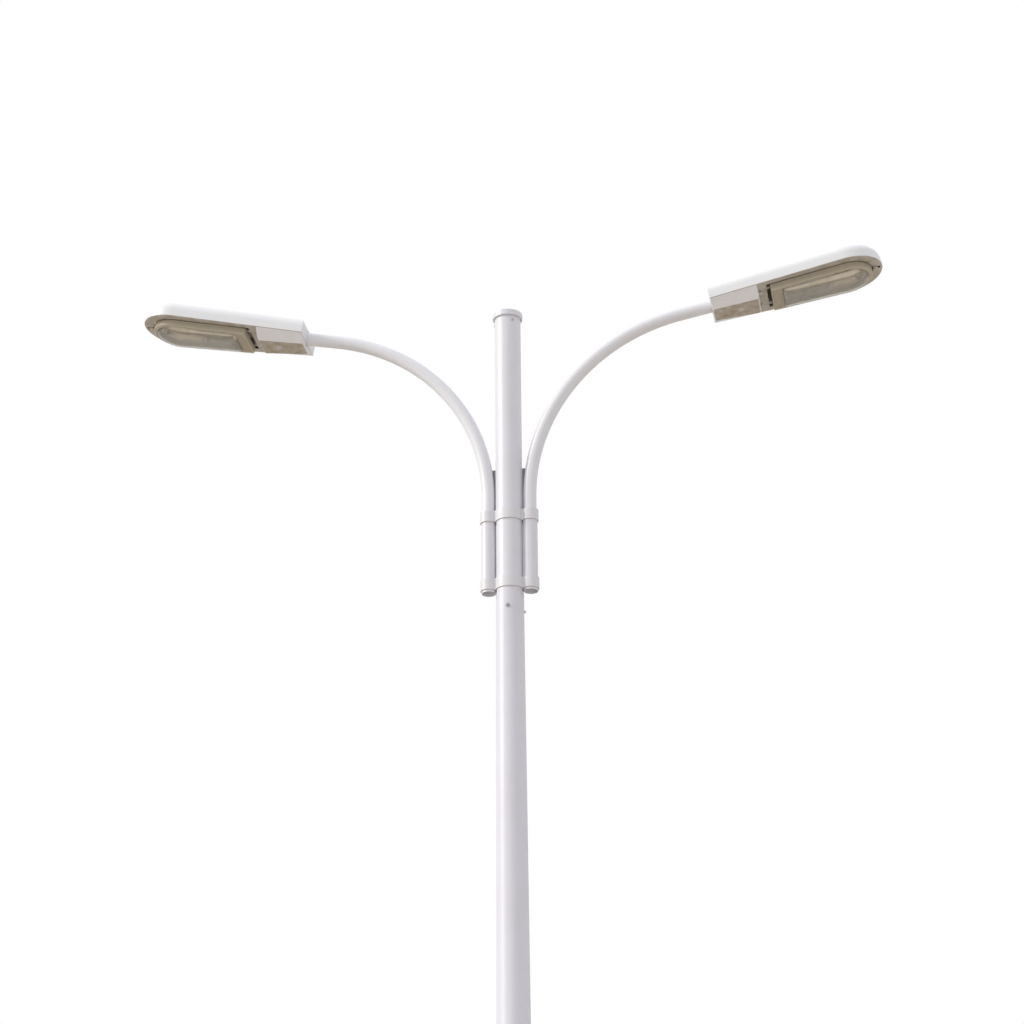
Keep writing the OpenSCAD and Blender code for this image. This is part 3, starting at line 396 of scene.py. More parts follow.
VARNISH = Moulded("black_varnish", (0.05, 0.045, 0.045), 0.32, speck=(0.14, 0.12, 0.1), gloss=0.6)
CASE = Moulded("ignitor_plastic", (0.62, 0.62, 0.6), 0.5, speck=(0.5, 0.49, 0.46))
TERMINAL = Moulded("terminal_ceramic", (0.8, 0.77, 0.69), 0.5, speck=(0.62, 0.58, 0.5), relief=0.0003)
BAKELITE = Moulded("dark_bakelite", (0.055, 0.035, 0.025), 0.28, speck=(0.12, 0.07, 0.04), gloss=0.6)
CARRIER = Moulded("white_moulding", (0.82, 0.82, 0.79), 0.3, speck=(0.7, 0.68, 0.62), speck_share=0.15)
BOARD = Laminate("board_laminate", (0.42, 0.27, 0.14), 0.35)
LAMINATION = Metal("ballast_steel", (0.3, 0.3, 0.31), 0.5, grain=(400.0, 20.0, 20.0), film_share=0.5)


# ---------------------------------------------------------------- mesh work


def finished(name: str, bm: Mesh, finish: Finish, place: Matrix = Matrix.Identity(4),
             crease: float = 32.0) -> Piece:
    """Turns a worked mesh into an object at the origin.

    Args:
        name: The object's name.
        bm: The mesh, which is used up.
        finish: The finish that it takes.
        place: Where the mesh goes.
        crease: Edges sharper than this many degrees stay sharp.

    Returns:
        The new object.
    """
    bm.transform(place)
    if place.determinant() < 0:
        bmesh.ops.reverse_faces(bm, faces=bm.faces)
    mesh = bpy.data.meshes.new(name)
    bm.to_mesh(mesh)
    bm.free()
    mesh.materials.append(finish.material())
    made = bpy.data.objects.new(name, mesh)
    bpy.context.scene.collection.objects.link(made)
    smooth(made, crease)
    return made


def smooth(piece: Piece, crease: float = 32.0) -> None:
    """Shades a piece smooth up to a crease angle in degrees."""
    mesh = piece.data
    mesh.polygons.foreach_set("use_smooth", [True] * len(mesh.polygons))
    mesh.set_sharp_from_angle(angle=math.radians(crease))
    mesh.update()


def outward(bm: Mesh) -> Mesh:
    """Merges doubles and turns every face outwards."""
    bmesh.ops.remove_doubles(bm, verts=bm.verts, dist=1e-6)
    bmesh.ops.recalc_face_normals(bm, faces=bm.faces)
    return bm


class Ends(Enum):
    """How the two ends of a lofted skin are finished."""

    CLOSED = "a face on both"
    LAST_CLOSED = "a face on the last"
    RINGED = "the last joins the first"


def loft(loops: Sequence[Loop], ends: Ends = Ends.CLOSED) -> Mesh:
    """A skin over closed loops with as many points each.

    Args:
        loops: The loops, from one end to the other.
        ends: How its ends are finished.

    Returns:
        The mesh.
    """
    bm = bmesh.new()
    rows = [[bm.verts.new(p) for p in loop] for loop in loops]
    count = len(rows[0])
    pairs = list(zip(rows, rows[1:])) + ([(rows[-1], rows[0])] if ends is Ends.RINGED else [])
    for low, high in pairs:
        for k in range(count):
            bm.faces.new((low[k], low[(k + 1) % count], high[(k + 1) % count], high[k]))
    if ends is Ends.CLOSED:
        bm.faces.new(rows[0][::-1])
    if ends is not Ends.RINGED:
        bm.faces.new(rows[-1])
    return outward(bm)


def circle(radius: float, count: int = 96, z: float = 0.0) -> Loop:
    """A circle of points round the Z axis."""
    return [Vector((radius * math.cos(math.tau * k / count), radius * math.sin(math.tau * k / count), z))
            for k in range(count)]


def turned(profile: Sequence[Point2], count: int = 96) -> Mesh:
    """A body of revolution about Z from a closed profile of (radius, z)."""
    return loft([circle(max(r, 1e-5), count, z) for r, z in profile], Ends.RINGED)


def arc(middle: Point2, radius: float, start: float, end: float, steps: int) -> list[Point2]:
    """Points on an arc, in degrees from the first axis."""
    return [(middle[0] + radius * math.cos(math.radians(start + (end - start) * k / steps)),
             middle[1] + radius * math.sin(math.radians(start + (end - start) * k / steps)))
            for k in range(steps + 1)]


def along_x(height: float) -> Matrix:
    """Lays a mesh made round Z round a line along X, at a height."""
    return Matrix.Translation((0, 0, height)) @ Matrix.Rotation(math.pi / 2, 4, "Y")


def bar_along_x(radius: float, start: float, end: float, height: float, count: int = 72) -> Mesh:
    """A round bar along X at a height, to cut a hole with."""
    bar = loft([circle(radius, count, x) for x in (start, end)])
    bar.transform(along_x(height))
    return bar


def pipe_profile(outer: float, inner: float, low: float, high: float, lip: float) -> list[Point2]:
    """The wall of a pipe as a closed profile with rounded ends."""
    lip = min(lip, (outer - inner) * 0.45)
    return (arc((outer - lip, low + lip), lip, -90, 0, 4) + arc((outer - lip, high - lip), lip, 0, 90, 4)
            + arc((inner + lip, high - lip), lip, 90, 180, 4) + arc((inner + lip, low + lip), lip, 180,
                                                                    270, 4))


def add_mesh(bm: Mesh, other: Mesh, place: Matrix = Matrix.Identity(4)) -> None:
    """Adds another worked mesh, which is used up."""
    other.transform(place)
    if place.determinant() < 0:
        bmesh.ops.reverse_faces(other, faces=other.faces)
    held = bpy.data.meshes.new("held")
    other.to_mesh(held)
    other.free()
    bm.from_mesh(held)
    bpy.data.meshes.remove(held)


def plate(outline: Sequence[Point2], holes: Sequence[Sequence[Point2]], low: float, high: float,
          edge: float) -> Mesh:
    """A flat plate with holes and rounded edges.

    Args:
        outline: The plate's outline in X and Y.
        holes: The outlines of its holes.
        low: Z of its underside.
        high: Z of its top.
        edge: Radius of the rounded edges.

    Returns:
        The mesh.
    """
    curve = bpy.data.curves.new("plate", "CURVE")
    curve.dimensions = "2D"
    curve.fill_mode = "BOTH"
    curve.extrude = (high - low) / 2 - edge
    curve.bevel_depth = edge
    curve.bevel_resolution = 2
    curve.offset = -edge
    for points in [outline, *holes]:
        spline = curve.splines.new("POLY")
        spline.points.add(len(points) - 1)
        spline.points.foreach_set("co", [c for x, y in points for c in (x, y, 0.0, 1.0)])
        spline.use_cyclic_u = True
    holder = bpy.data.objects.new("plate", curve)
    bpy.context.scene.collection.objects.link(holder)
    depsgraph = bpy.context.evaluated_depsgraph_get()
    mesh = bpy.data.meshes.new_from_object(holder.evaluated_get(depsgraph), depsgraph=depsgraph)
    bpy.data.objects.remove(holder)
    bpy.data.curves.remove(curve)
    bm = bmesh.new()
    bm.from_mesh(mesh)
    bpy.data.meshes.remove(mesh)
    outward(bm)
    bm.transform(Matrix.Translation((0, 0, (low + high) / 2)))
    return bm


def rounded_box(size: Sequence[float], middle: Sequence[float], edge: float, steps: int = 2) -> Mesh:
    """A box with rounded edges."""
    bm = bmesh.new()
    bmesh.ops.create_cube(bm, size=1.0)
    bm.transform(Matrix.Translation(middle) @ Matrix.Diagonal((*size, 1.0)))
    bmesh.ops.bevel(bm, geom=list(bm.edges), offset=edge, segments=steps, affect="EDGES", profile=0.5)
    return bm


def cut(piece: Piece, tools: Sequence[Mesh], place: Matrix = Matrix.Identity(4)) -> None:
    """Cuts tools out of a piece for good and frees them."""
    for bm in tools:
        tool = finished("cutting_tool", bm, STEEL, place)
        modifier = piece.modifiers.new("cut", "BOOLEAN")
        modifier.operation = "DIFFERENCE"
        modifier.solver = "EXACT"
        modifier.object = tool
        apply_modifiers(piece)
        bpy.data.objects.remove(tool)


def apply_modifiers(piece: Piece) -> None:
    """Makes the modifiers' result the piece's own mesh."""
    depsgraph = bpy.context.evaluated_depsgraph_get()
    mesh = bpy.data.meshes.new_from_object(piece.evaluated_get(depsgraph), depsgraph=depsgraph)
    piece.modifiers.clear()
    piece.data = mesh


def walled(piece: Piece, thickness: float) -> None:
    """Gives an open skin its wall, on the inner side."""
    modifier = piece.modifiers.new("wall", "SOLIDIFY")
    modifier.thickness = thickness
    modifier.offset = -1.0
    modifier.use_even_offset = True
    modifier.use_quality_normals = True
    apply_modifiers(piece)


def joined(name: str, pieces: Sequence[Piece], crease: float = 32.0) -> Piece:
    """One object out of several that share their first finish."""
    bm = bmesh.new()
    for piece in pieces:
        bm.from_mesh(piece.data)
    mesh = bpy.data.meshes.new(name)
    bm.to_mesh(mesh)
    bm.free()
    mesh.materials.append(pieces[0].data.materials[0])
    for piece in pieces:
        bpy.data.objects.remove(piece)
    made = bpy.data.objects.new(name, mesh)
    bpy.context.scene.collection.objects.link(made)
    smooth(made, crease)
    return made


def install(piece: Piece, body: str, slot: str, *nodes: str) -> Piece:
    """Sets a piece riding on its body in place of CAD nodes.

    Args:
        piece: The finished piece.
        body: The body that it rides on.
        slot: The record's material slot; not used.
        nodes: The CAD nodes that it stands for.

    Returns:
        The piece.
    """
    modifier = piece.modifiers.new("weighted", "WEIGHTED_NORMAL")
    modifier.keep_sharp = True
    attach(piece, body)
    if nodes:
        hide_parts(*nodes)
    log.info("%s: %d faces on %s", piece.name, len(piece.data.polygons), body)
    return piece


def eased_copy(node: str, finish: Finish, slot: str, body: str, edge: float = 0.0008,
               steps: int = 2) -> Piece:
    """A copy of a CAD node with merged corners and rounded edges, in its place.

    Args:
        node: The CAD node.
        finish: The finish that it takes.
        slot: The record's material slot; not used.
        body: The body that it rides on.
        edge: Radius of the rounded edges.
        steps: Facets in a rounded edge.

    Returns:
        The piece.
    """
    bm = bmesh.new()
    bm.from_mesh(frame["nodes"][node].data)
    bmesh.ops.remove_doubles(bm, verts=bm.verts, dist=2e-6)
    bmesh.ops.dissolve_limit(bm, angle_limit=math.radians(0.6), verts=bm.verts, edges=bm.edges)
    sharp = [e for e in bm.edges if len(e.link_faces) == 2 and e.calc_face_angle(0.0) > math.radians(40)]
    bmesh.ops.bevel(bm, geom=sharp, offset=edge, segments=steps, affect="EDGES", profile=0.5,
                    clamp_overlap=True)
    return install(finished(node + "_finished", bm, finish), body, slot, node)


# ---------------------------------------------------------------- geometry nodes


class RepeatTree:
    """A Geometry Nodes tree that lays out copies of one small shape."""

    def __init__(self, name: str, sizes: dict[str, tuple[str, Any]]) -> None:
        """Makes the tree with its named inputs.

        Args:
            name: The tree's name.
            sizes: The inputs: name to socket type and default value.
        """
        self.tree = bpy.data.node_groups.new(name, "GeometryNodeTree")
        self.bench = NodeBench(self.tree)
        self.tree.interface.new_socket("Geometry", in_out="OUTPUT", socket_type="NodeSocketGeometry")
        for label, (kind, value) in {**sizes, "Finish": ("NodeSocketMaterial", None)}.items():
            socket = self.tree.interface.new_socket(label, in_out="INPUT", socket_type=kind)
            if value is not None:
                socket.default_value = value
        self.given = self.tree.nodes.new("NodeGroupInput").outputs

    def close(self, instances: Socket) -> None:
        """Ends the tree in real geometry with its material."""
        real = self.bench.add("GeometryNodeRealizeInstances", {0: instances})
        shaded = self.bench.add("GeometryNodeSetShadeSmooth", {0: real.outputs[0]})
        dressed = self.bench.add("GeometryNodeSetMaterial", {0: shaded.outputs[0],
                                                             "Material": self.given["Finish"]})
        self.bench.add("NodeGroupOutput", {0: dressed.outputs[0]})

    def grow(self, name: str, finish: Finish, place: Matrix = Matrix.Identity(4), **values: Any) -> Piece:
        """Runs the tree once and keeps its result as a plain mesh.

        Args:
            name: The object's name.
            finish: The finish that it takes.
            place: Where the result goes.
            values: Inputs by their names with _ for a space.

        Returns:
            The new object, at the origin.
        """
        host = bpy.data.objects.new(name, bpy.data.meshes.new(name))
        bpy.context.scene.collection.objects.link(host)
        modifier = host.modifiers.new("repeat", "NODES")
        modifier.node_group = self.tree
        wanted = {**values, "Finish": finish.material()}
        for item in self.tree.interface.items_tree:
            key = item.name.replace(" ", "_")
            if item.in_out == "INPUT" and key in wanted:
                modifier[item.identifier] = wanted[key]
        depsgraph = bpy.context.evaluated_depsgraph_get()
        mesh = bpy.data.meshes.new_from_object(host.evaluated_get(depsgraph), depsgraph=depsgraph)
        host.modifiers.remove(modifier)
        host.data = mesh
        mesh.transform(place)
        if place.determinant() < 0:
            mesh.flip_normals()
        mesh.materials.clear()
        mesh.materials.append(finish.material())
        return host


def ring_tree() -> RepeatTree:
    """Copies of a part in a ring round Z, each turned to face outwards."""
    made = RepeatTree("ring_of_parts", {
        "Part": ("NodeSocketObject", None), "Count": ("NodeSocketInt", 3),
        "Radius": ("NodeSocketFloat", 0.06), "Height": ("NodeSocketFloat", 0.0),
        "First angle": ("NodeSocketFloat", 0.0)})
    bench, given = made.bench, made.given
    ring = bench.add("GeometryNodePoints", {"Count": given["Count"]})
    index = bench.add("GeometryNodeInputIndex").outputs[0]
    swept = bench.reckon("MULTIPLY", index, bench.reckon("DIVIDE", math.tau, given["Count"]))
    angle = bench.reckon("ADD", swept, given["First angle"])
    east = bench.add("ShaderNodeCombineXYZ", {0: given["Radius"], 2: given["Height"]}).outputs[0]
    spot = bench.add("ShaderNodeVectorRotate", {"Vector": east, "Angle": angle}, rotation_type="Z_AXIS")
    moved = bench.add("GeometryNodeSetPosition", {0: ring.outputs[0], "Position": spot.outputs[0]})
    facing = bench.add("ShaderNodeCombineXYZ", {2: angle}).outputs[0]
    part = bench.add("GeometryNodeObjectInfo", {"Object": given["Part"]})
    copies = bench.add("GeometryNodeInstanceOnPoints", {
        "Points": moved.outputs[0], "Instance": part.outputs["Geometry"], "Rotation": facing})
    made.close(copies.outputs[0])
    return made


def row_tree() -> RepeatTree:
    """Copies of a part in a straight row."""
    made = RepeatTree("row_of_parts", {
        "Part": ("NodeSocketObject", None), "Count": ("NodeSocketInt", 4),
        "Start": ("NodeSocketVector", (0.0, 0.0, 0.0)), "Step": ("NodeSocketVector", (0.01, 0.0, 0.0))})
    bench, given = made.bench, made.given
    line = bench.add("GeometryNodeMeshLine", {
        "Count": given["Count"], "Start Location": given["Start"], "Offset": given["Step"]})
    part = bench.add("GeometryNodeObjectInfo", {"Object": given["Part"]})
    copies = bench.add("GeometryNodeInstanceOnPoints", {
        "Points": line.outputs[0], "Instance": part.outputs["Geometry"]})
    made.close(copies.outputs[0])
    return made


def bead_tree() -> RepeatTree:
    """A weld bead: overlapping ripples along a path."""
    made = RepeatTree("weld_bead", {
        "Part": ("NodeSocketObject", None), "Pitch": ("NodeSocketFloat", 0.003),
        "Width": ("NodeSocketFloat", 0.006)})
    bench, given = made.bench, made.given
    path = bench.add("GeometryNodeObjectInfo", {"Object": given["Part"]})
    curve = bench.add("GeometryNodeMeshToCurve", {0: path.outputs["Geometry"]})
    even = bench.add("GeometryNodeResampleCurve", {"Curve": curve.outputs[0], "Length": given["Pitch"]},
                     mode="LENGTH")
    points = bench.add("GeometryNodeCurveToPoints", {0: even.outputs[0]}, mode="EVALUATED")
    ripple = bench.add("GeometryNodeMeshUVSphere", {"Segments": 7, "Rings": 4, "Radius": 0.5})
    size = bench.add("ShaderNodeCombineXYZ", {0: given["Width"], 1: given["Width"], 2: given["Pitch"]})
    longer = bench.add("ShaderNodeVectorMath", {0: size.outputs[0], 1: (1.0, 1.0, 1.7)},
                       operation="MULTIPLY")
    copies = bench.add("GeometryNodeInstanceOnPoints", {
        "Points": points.outputs["Points"], "Instance": ripple.outputs[0],
        "Rotation": points.outputs["Rotation"], "Scale": longer.outputs[0]})
    made.close(copies.outputs[0])
    return made


class Repeats:
    """The three layouts that repeated parts are made with."""

    def __init__(self) -> None:
        """Builds each tree once."""
        self.ring = ring_tree()
        self.row = row_tree()
        self.bead = bead_tree()

    def lay_out(self, tree: RepeatTree, name: str, part: Mesh, finish: Finish,
                place: Matrix = Matrix.Identity(4), crease: float = 32.0, **values: Any) -> Piece:
        """Runs one layout on a part, which is used up."""
        template = finished("template", part, finish)
        made = tree.grow(name, finish, place, Part=template, **values)
        bpy.data.objects.remove(template)
        smooth(made, crease)
        return made

    def in_ring(self, name: str, part: Mesh, finish: Finish, count: int, radius: float,
                height: float, first: float, place: Matrix = Matrix.Identity(4)) -> Piece:
        """Copies of a part in a ring. First is the first angle in degrees."""
        return self.lay_out(self.ring, name, part, finish, place, Count=count, Radius=radius,
                            Height=height, First_angle=math.radians(first))

    def in_row(self, name: str, part: Mesh, finish: Finish, count: int, start: Sequence[float],
               step: Sequence[float], place: Matrix = Matrix.Identity(4)) -> Piece:
        """Copies of a part in a row."""
        return self.lay_out(self.row, name, part, finish, place, Count=count, Start=start, Step=step)

    def along(self, name: str, paths: Sequence[tuple[Loop, bool]], finish: Finish, width: float) -> Piece:
        """A weld bead along paths, each given with whether it is closed."""
        bm = bmesh.new()
        for points, closed in paths:
            verts = [bm.verts.new(p) for p in points]
            for a, b in zip(verts, verts[1:] + (verts[:1] if closed else [])):
                bm.edges.new((a, b))
        return self.lay_out(self.bead, name, bm, finish, crease=60.0, Pitch=width * BEAD_PITCH, Width=width)


# ---------------------------------------------------------------- small parts


def hexagon(corner: float, z: float, turn: float = 0.0) -> Loop:
    """A hexagon with as many points as a screw's round loops.

    Args:
        corner: Radius of its corners.
        z: Its height.
        turn: How far its corners are turned, in radians.

    Returns:
        Its points.
    """
    flat = corner * math.cos(math.pi / 6)
    loop = []
    for k in range(SCREW_POINTS):
        angle = math.tau * k / SCREW_POINTS
        reach = flat / math.cos((angle + turn) % (math.pi / 3) - math.pi / 6)
        loop.append(Vector((reach * math.cos(angle), reach * math.sin(angle), z)))
    return loop


def button_screw(radius: float, height: float, socket: float, shank: float, length: float) -> Mesh:
    """A domed screw along +X with a hexagon socket, its seat at x = 0.

    Args:
        radius: Radius of the head.
        height: Height of the head.
        socket: Radius of the socket's corners.
        shank: Radius of the shank.
        length: Length of the shank behind the seat.

    Returns:
        The mesh.
    """
    count, turn = SCREW_POINTS, math.pi / 6
    dome = [circle(radius * math.cos(math.radians(a)), count,
                   height * (0.35 + 0.65 * math.sin(math.radians(a))))
            for a in (0, 20, 40, 58)]
    loops = [circle(shank, count, -length), circle(shank, count, 0.0), circle(radius * 0.97, count, 0.0),
             circle(radius, count, height * 0.12), *dome, hexagon(socket * 1.08, height, turn),
             hexagon(socket, height * 0.96, turn), hexagon(socket, height * 0.4, turn)]
    bm = loft(loops)
    bm.transform(Matrix.Rotation(math.pi / 2, 4, "Y"))
    return bm


def hex_screw(across: float, height: float, washer: float, shank: float, length: float) -> Mesh:
    """A hexagon-headed screw along +X on a washer, its seat at x = 0."""
    count, corner = SCREW_POINTS, across / 2 / math.cos(math.pi / 6)
    thick = height * 0.3
    loops = [circle(shank, count, -length), circle(shank, count, 0.0), circle(washer * 0.98, count, 0.0),
             circle(washer, count, thick * 0.2), circle(washer, count, thick * 0.8),
             circle(washer * 0.97, count, thick), hexagon(corner * 0.98, thick),
             hexagon(corner, thick * 1.3), hexagon(corner, thick + height * 0.8),
             circle(across * 0.47, count, thick + height)]
    bm = loft(loops)
    bm.transform(Matrix.Rotation(math.pi / 2, 4, "Y"))
    return bm


# ---------------------------------------------------------------- column


@dataclass
class Column:
    """The tapered pole on its base plate."""

    wall: float = 4 * MM
    base_thick: float = 20 * MM
    seam_width: float = 5 * MM
    hole_width: float = 130 * MM
    hole_height: float = 460 * MM
    gusset_reach: float = 75 * MM
    gusset_height: float = 130 * MM
    gusset_thick: float = 10 * MM

    def __post_init__(self) -> None:
        """Reads the pole's own sizes from the frame."""
        low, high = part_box("pole_shaft")
        self.top = high.z
        self.foot = low.z
        self.foot_r = high.x
        self.top_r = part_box("head_tube")[1].x + 2.5 * MM
        frame_low, frame_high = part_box("door_frame")
        self.door_middle = (frame_low.z + frame_high.z) / 2
        self.door_back = frame_high.y

    def radius(self, z: float) -> float:
        """Outer radius of the pole at a height."""
        return self.foot_r + (self.top_r - self.foot_r) * (z - self.foot) / (self.top - self.foot)

    def build(self, repeats: Repeats) -> None:
        """Makes the pole, its seam, plate and gussets."""
        heights = [self.foot + (self.top - self.foot) * k / 12 for k in range(13)]
        rim = 1.6 * MM
        outer = [(self.radius(z), z) for z in heights[:-1]]
        outer += arc((self.top_r - rim, self.top - rim), rim, 0, 90, 4)
        inner = [(self.radius(z) - self.wall, z) for z in reversed(heights)]
        pole = finished("pole_tube", turned(outer + inner, 128), COLUMN_PAINT)
        opening = rounded_box((self.hole_width, 2 * self.radius(0) + 0.1, self.hole_height),
                              (0, -self.radius(0) - 0.05 + self.door_back, self.door_middle), 1 * MM)
        cut(pole, [opening])
        seam = repeats.along("seam", [([Vector((0, self.radius(z) - 0.2 * MM, z)) for z in heights],
                                       False)],
                             COLUMN_PAINT, self.seam_width)
        foot = repeats.along("foot", [(circle(self.foot_r + 1.5 * MM, 64, self.foot + 2 * MM), True)],
                             COLUMN_PAINT, 8 * MM)
        install(joined("pole_column", [pole, seam, foot], 40.0), Body.COLUMN.on(), "pole_paint",
                "pole_shaft")
        eased_copy("base_plate", ZINC, "galvanised_plate", Body.COLUMN.on(), 1.5 * MM)
        self.build_gussets(repeats)

    def build_gussets(self, repeats: Repeats) -> None:
        """Makes the four gussets with their weld beads."""
        eased_copy("base_gussets", COLUMN_PAINT, "pole_paint", Body.COLUMN.on(), 1.2 * MM)
        paths = []
        off = 1 * MM
        foot = self.radius(self.foot) + off
        head = self.radius(self.foot + self.gusset_height) + off
        for k in range(4):
            turn = Matrix.Rotation(math.tau * k / 4, 4, "Z")
            for y in (-self.gusset_thick / 2 - off, self.gusset_thick / 2 + off):
                ends = [((foot, 2 * MM), (foot + self.gusset_reach - 4 * MM, 2 * MM)),
                        ((foot, 4 * MM), (head, self.gusset_height - 2 * MM))]
                paths += [([turn @ Vector((x, y, self.foot + z)) for x, z in pair], False) for pair in ends]
        beads = repeats.along("gusset_weld_beads", paths, COLUMN_PAINT, 5 * MM)
        install(beads, Body.COLUMN.on(), "pole_paint")


@dataclass
class AccessDoor:
    """The door in the pole, its frame and lock, and the fuses behind it."""

    screw_share: float = 0.4
    screw_inset: float = 15 * MM

    def build(self, repeats: Repeats) -> None:
        """Makes the door's pieces and the gear behind it."""
        column, door, lock = Body.COLUMN, Body.DOOR, Body.LOCK
        for node, finish, slot, body, edge in (
                ("door_frame", ZINC, "galvanised_plate", column, 1.0),
                ("access_door", COLUMN_PAINT, "pole_paint", door, 0.9),
                ("door_hinge_pins", STEEL, "stainless_fasteners", column, 0.6),
                ("door_lock_barrel", STEEL, "stainless_fasteners", lock, 0.6),
                ("door_lock_cam", STEEL, "stainless_fasteners", lock, 0.5),
                ("fuse_board", BOARD, "fuse_board_laminate", column, 0.8),
                ("fuse_bases", BAKELITE, "fuse_base_bakelite", column, 1.5),
                ("fuse_carriers", CARRIER, "fuse_carrier_plastic", column, 1.5),
                ("earth_bolt", BRASS, "earth_brass", column, 0.6)):
            eased_copy(node, finish, slot, body.on(), edge * MM)
        self.build_board_screws(repeats)

    def build_board_screws(self, repeats: Repeats) -> None:
        """Four screws hold the fuse board to its posts."""
        low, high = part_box("fuse_board")
        reach = (high.x - low.x) * self.screw_share
        step = (0, 0, high.z - low.z - 2 * self.screw_inset)
        screw = button_screw(4 * MM, 2.6 * MM, 1.8 * MM, 2 * MM, 4 * MM)
        screw.transform(Matrix.Rotation(-math.pi / 2, 4, "Z"))
        rows = [repeats.in_row("row", screw.copy(), STEEL, 2, (x, low.y, low.z + self.screw_inset), step)
                for x in (-reach, reach)]
        screw.free()
        install(joined("fuse_board_screws", rows), Body.COLUMN.on(), "stainless_fasteners")


# ---------------------------------------------------------------- head and bracket


@dataclass
class Head:
    """The head tube on its spigot, with its cap and screws."""

    wall: float = 4 * MM
    spigot_play: float = 0.8 * MM
    cap_overhang: float = 9 * MM
    cap_rim: float = 26 * MM
    cap_skirt: float = 16 * MM
    cap_dome: float = 22 * MM
    plug_wall: float = 5 * MM
    plug_length: float = 55 * MM
    cap_screw_down: float = 40 * MM
    set_bolt_down: float = 77 * MM
    set_bolt_head: float = 9.2 * MM
    tube_clear: float = 0.3 * MM

    def __post_init__(self) -> None:
        """Reads the head's own sizes from the frame."""
        low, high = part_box("head_tube")
        self.radius, self.top, self.bottom = high.x, high.z, low.z
        self.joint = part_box("pole_shaft")[1].z
        self.spigot_r = self.radius + 2.5 * MM - self.wall - self.spigot_play

    def build(self, repeats: Repeats) -> None:
        """Makes the tube, the cap and both sets of screws."""
        inner, rim = self.spigot_r - self.wall, 1.2 * MM
        profile = [(self.spigot_r, self.bottom), (self.spigot_r, self.joint)]
        profile += [(self.radius, self.joint + 0.02 * MM)]
        profile += [(self.radius, self.joint + (self.top - rim - self.joint) * k / 8) for k in range(1, 8)]
        profile += arc((self.radius - rim, self.top - rim), rim, 0, 90, 3)
        profile += [(inner, self.top), (inner, self.bottom)]
        tube = finished("head_tube_finished", turned(profile, 128), HEAD_PAINT)
        install(tube, Body.COLUMN.on(), "pole_paint", "head_tube")
        self.build_cap()
        self.build_screws(repeats)

    def build_cap(self) -> None:
        """The domed cap: skirt, rim, dome and the plug inside the tube."""
        rim_r = self.radius + self.cap_overhang
        foot = self.cap_rim - self.cap_skirt
        soft = 2.2 * MM
        plug_r = self.spigot_r - self.wall - self.tube_clear
        skirt_r = self.radius + self.tube_clear
        dome_r = (rim_r ** 2 + self.cap_dome ** 2) / (2 * self.cap_dome)
        middle = foot + self.cap_dome - dome_r
        profile = [(skirt_r, 0.0), (skirt_r, -self.cap_skirt + 0.8 * MM),
                   (skirt_r + 0.8 * MM, -self.cap_skirt)]
        profile += arc((rim_r - soft, -self.cap_skirt + soft), soft, -90, 0, 5)
        profile += arc((rim_r - soft, foot - soft * 0.4), soft, 0, 70, 5)
        steps = 16
        for k in range(1, steps + 1):
            r = (rim_r - soft * 1.6) * (1 - k / steps)
            profile.append((r, middle + math.sqrt(dome_r ** 2 - r ** 2)))
        profile += [(0.0, -2 * MM), (plug_r - self.plug_wall, -2 * MM),
                    (plug_r - self.plug_wall, -self.plug_length),
                    (plug_r, -self.plug_length), (plug_r, 0.0)]
        cap = finished("head_cap_finished", turned(profile, 128), HEAD_PAINT,
                       Matrix.Translation((0, 0, self.top)))
        install(cap, Body.COLUMN.on(), "pole_paint", "head_cap")

    def build_screws(self, repeats: Repeats) -> None:
        """The cap's three screws and the three set bolts at the joint."""
        screw = button_screw(6 * MM, 4 * MM, 2.6 * MM, 3 * MM, 12 * MM)
        caps = repeats.in_ring("cap_screws_finished", screw, STEEL, 3, self.radius + 0.1 * MM,
                               self.top - self.cap_screw_down, 60.0)
        install(caps, Body.COLUMN.on(), "stainless_fasteners", "cap_screws")
        bolt = hex_screw(11 * MM, 7 * MM, 9 * MM, 6 * MM, 4 * MM)
        reach = abs(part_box("head_set_bolts")[0].y) - self.set_bolt_head
        bolts = repeats.in_ring("head_set_bolts_finished", bolt, STEEL, 3, reach,
                                self.joint - self.set_bolt_down, -90.0)
        install(bolts, Body.COLUMN.on(), "stainless_fasteners", "head_set_bolts")


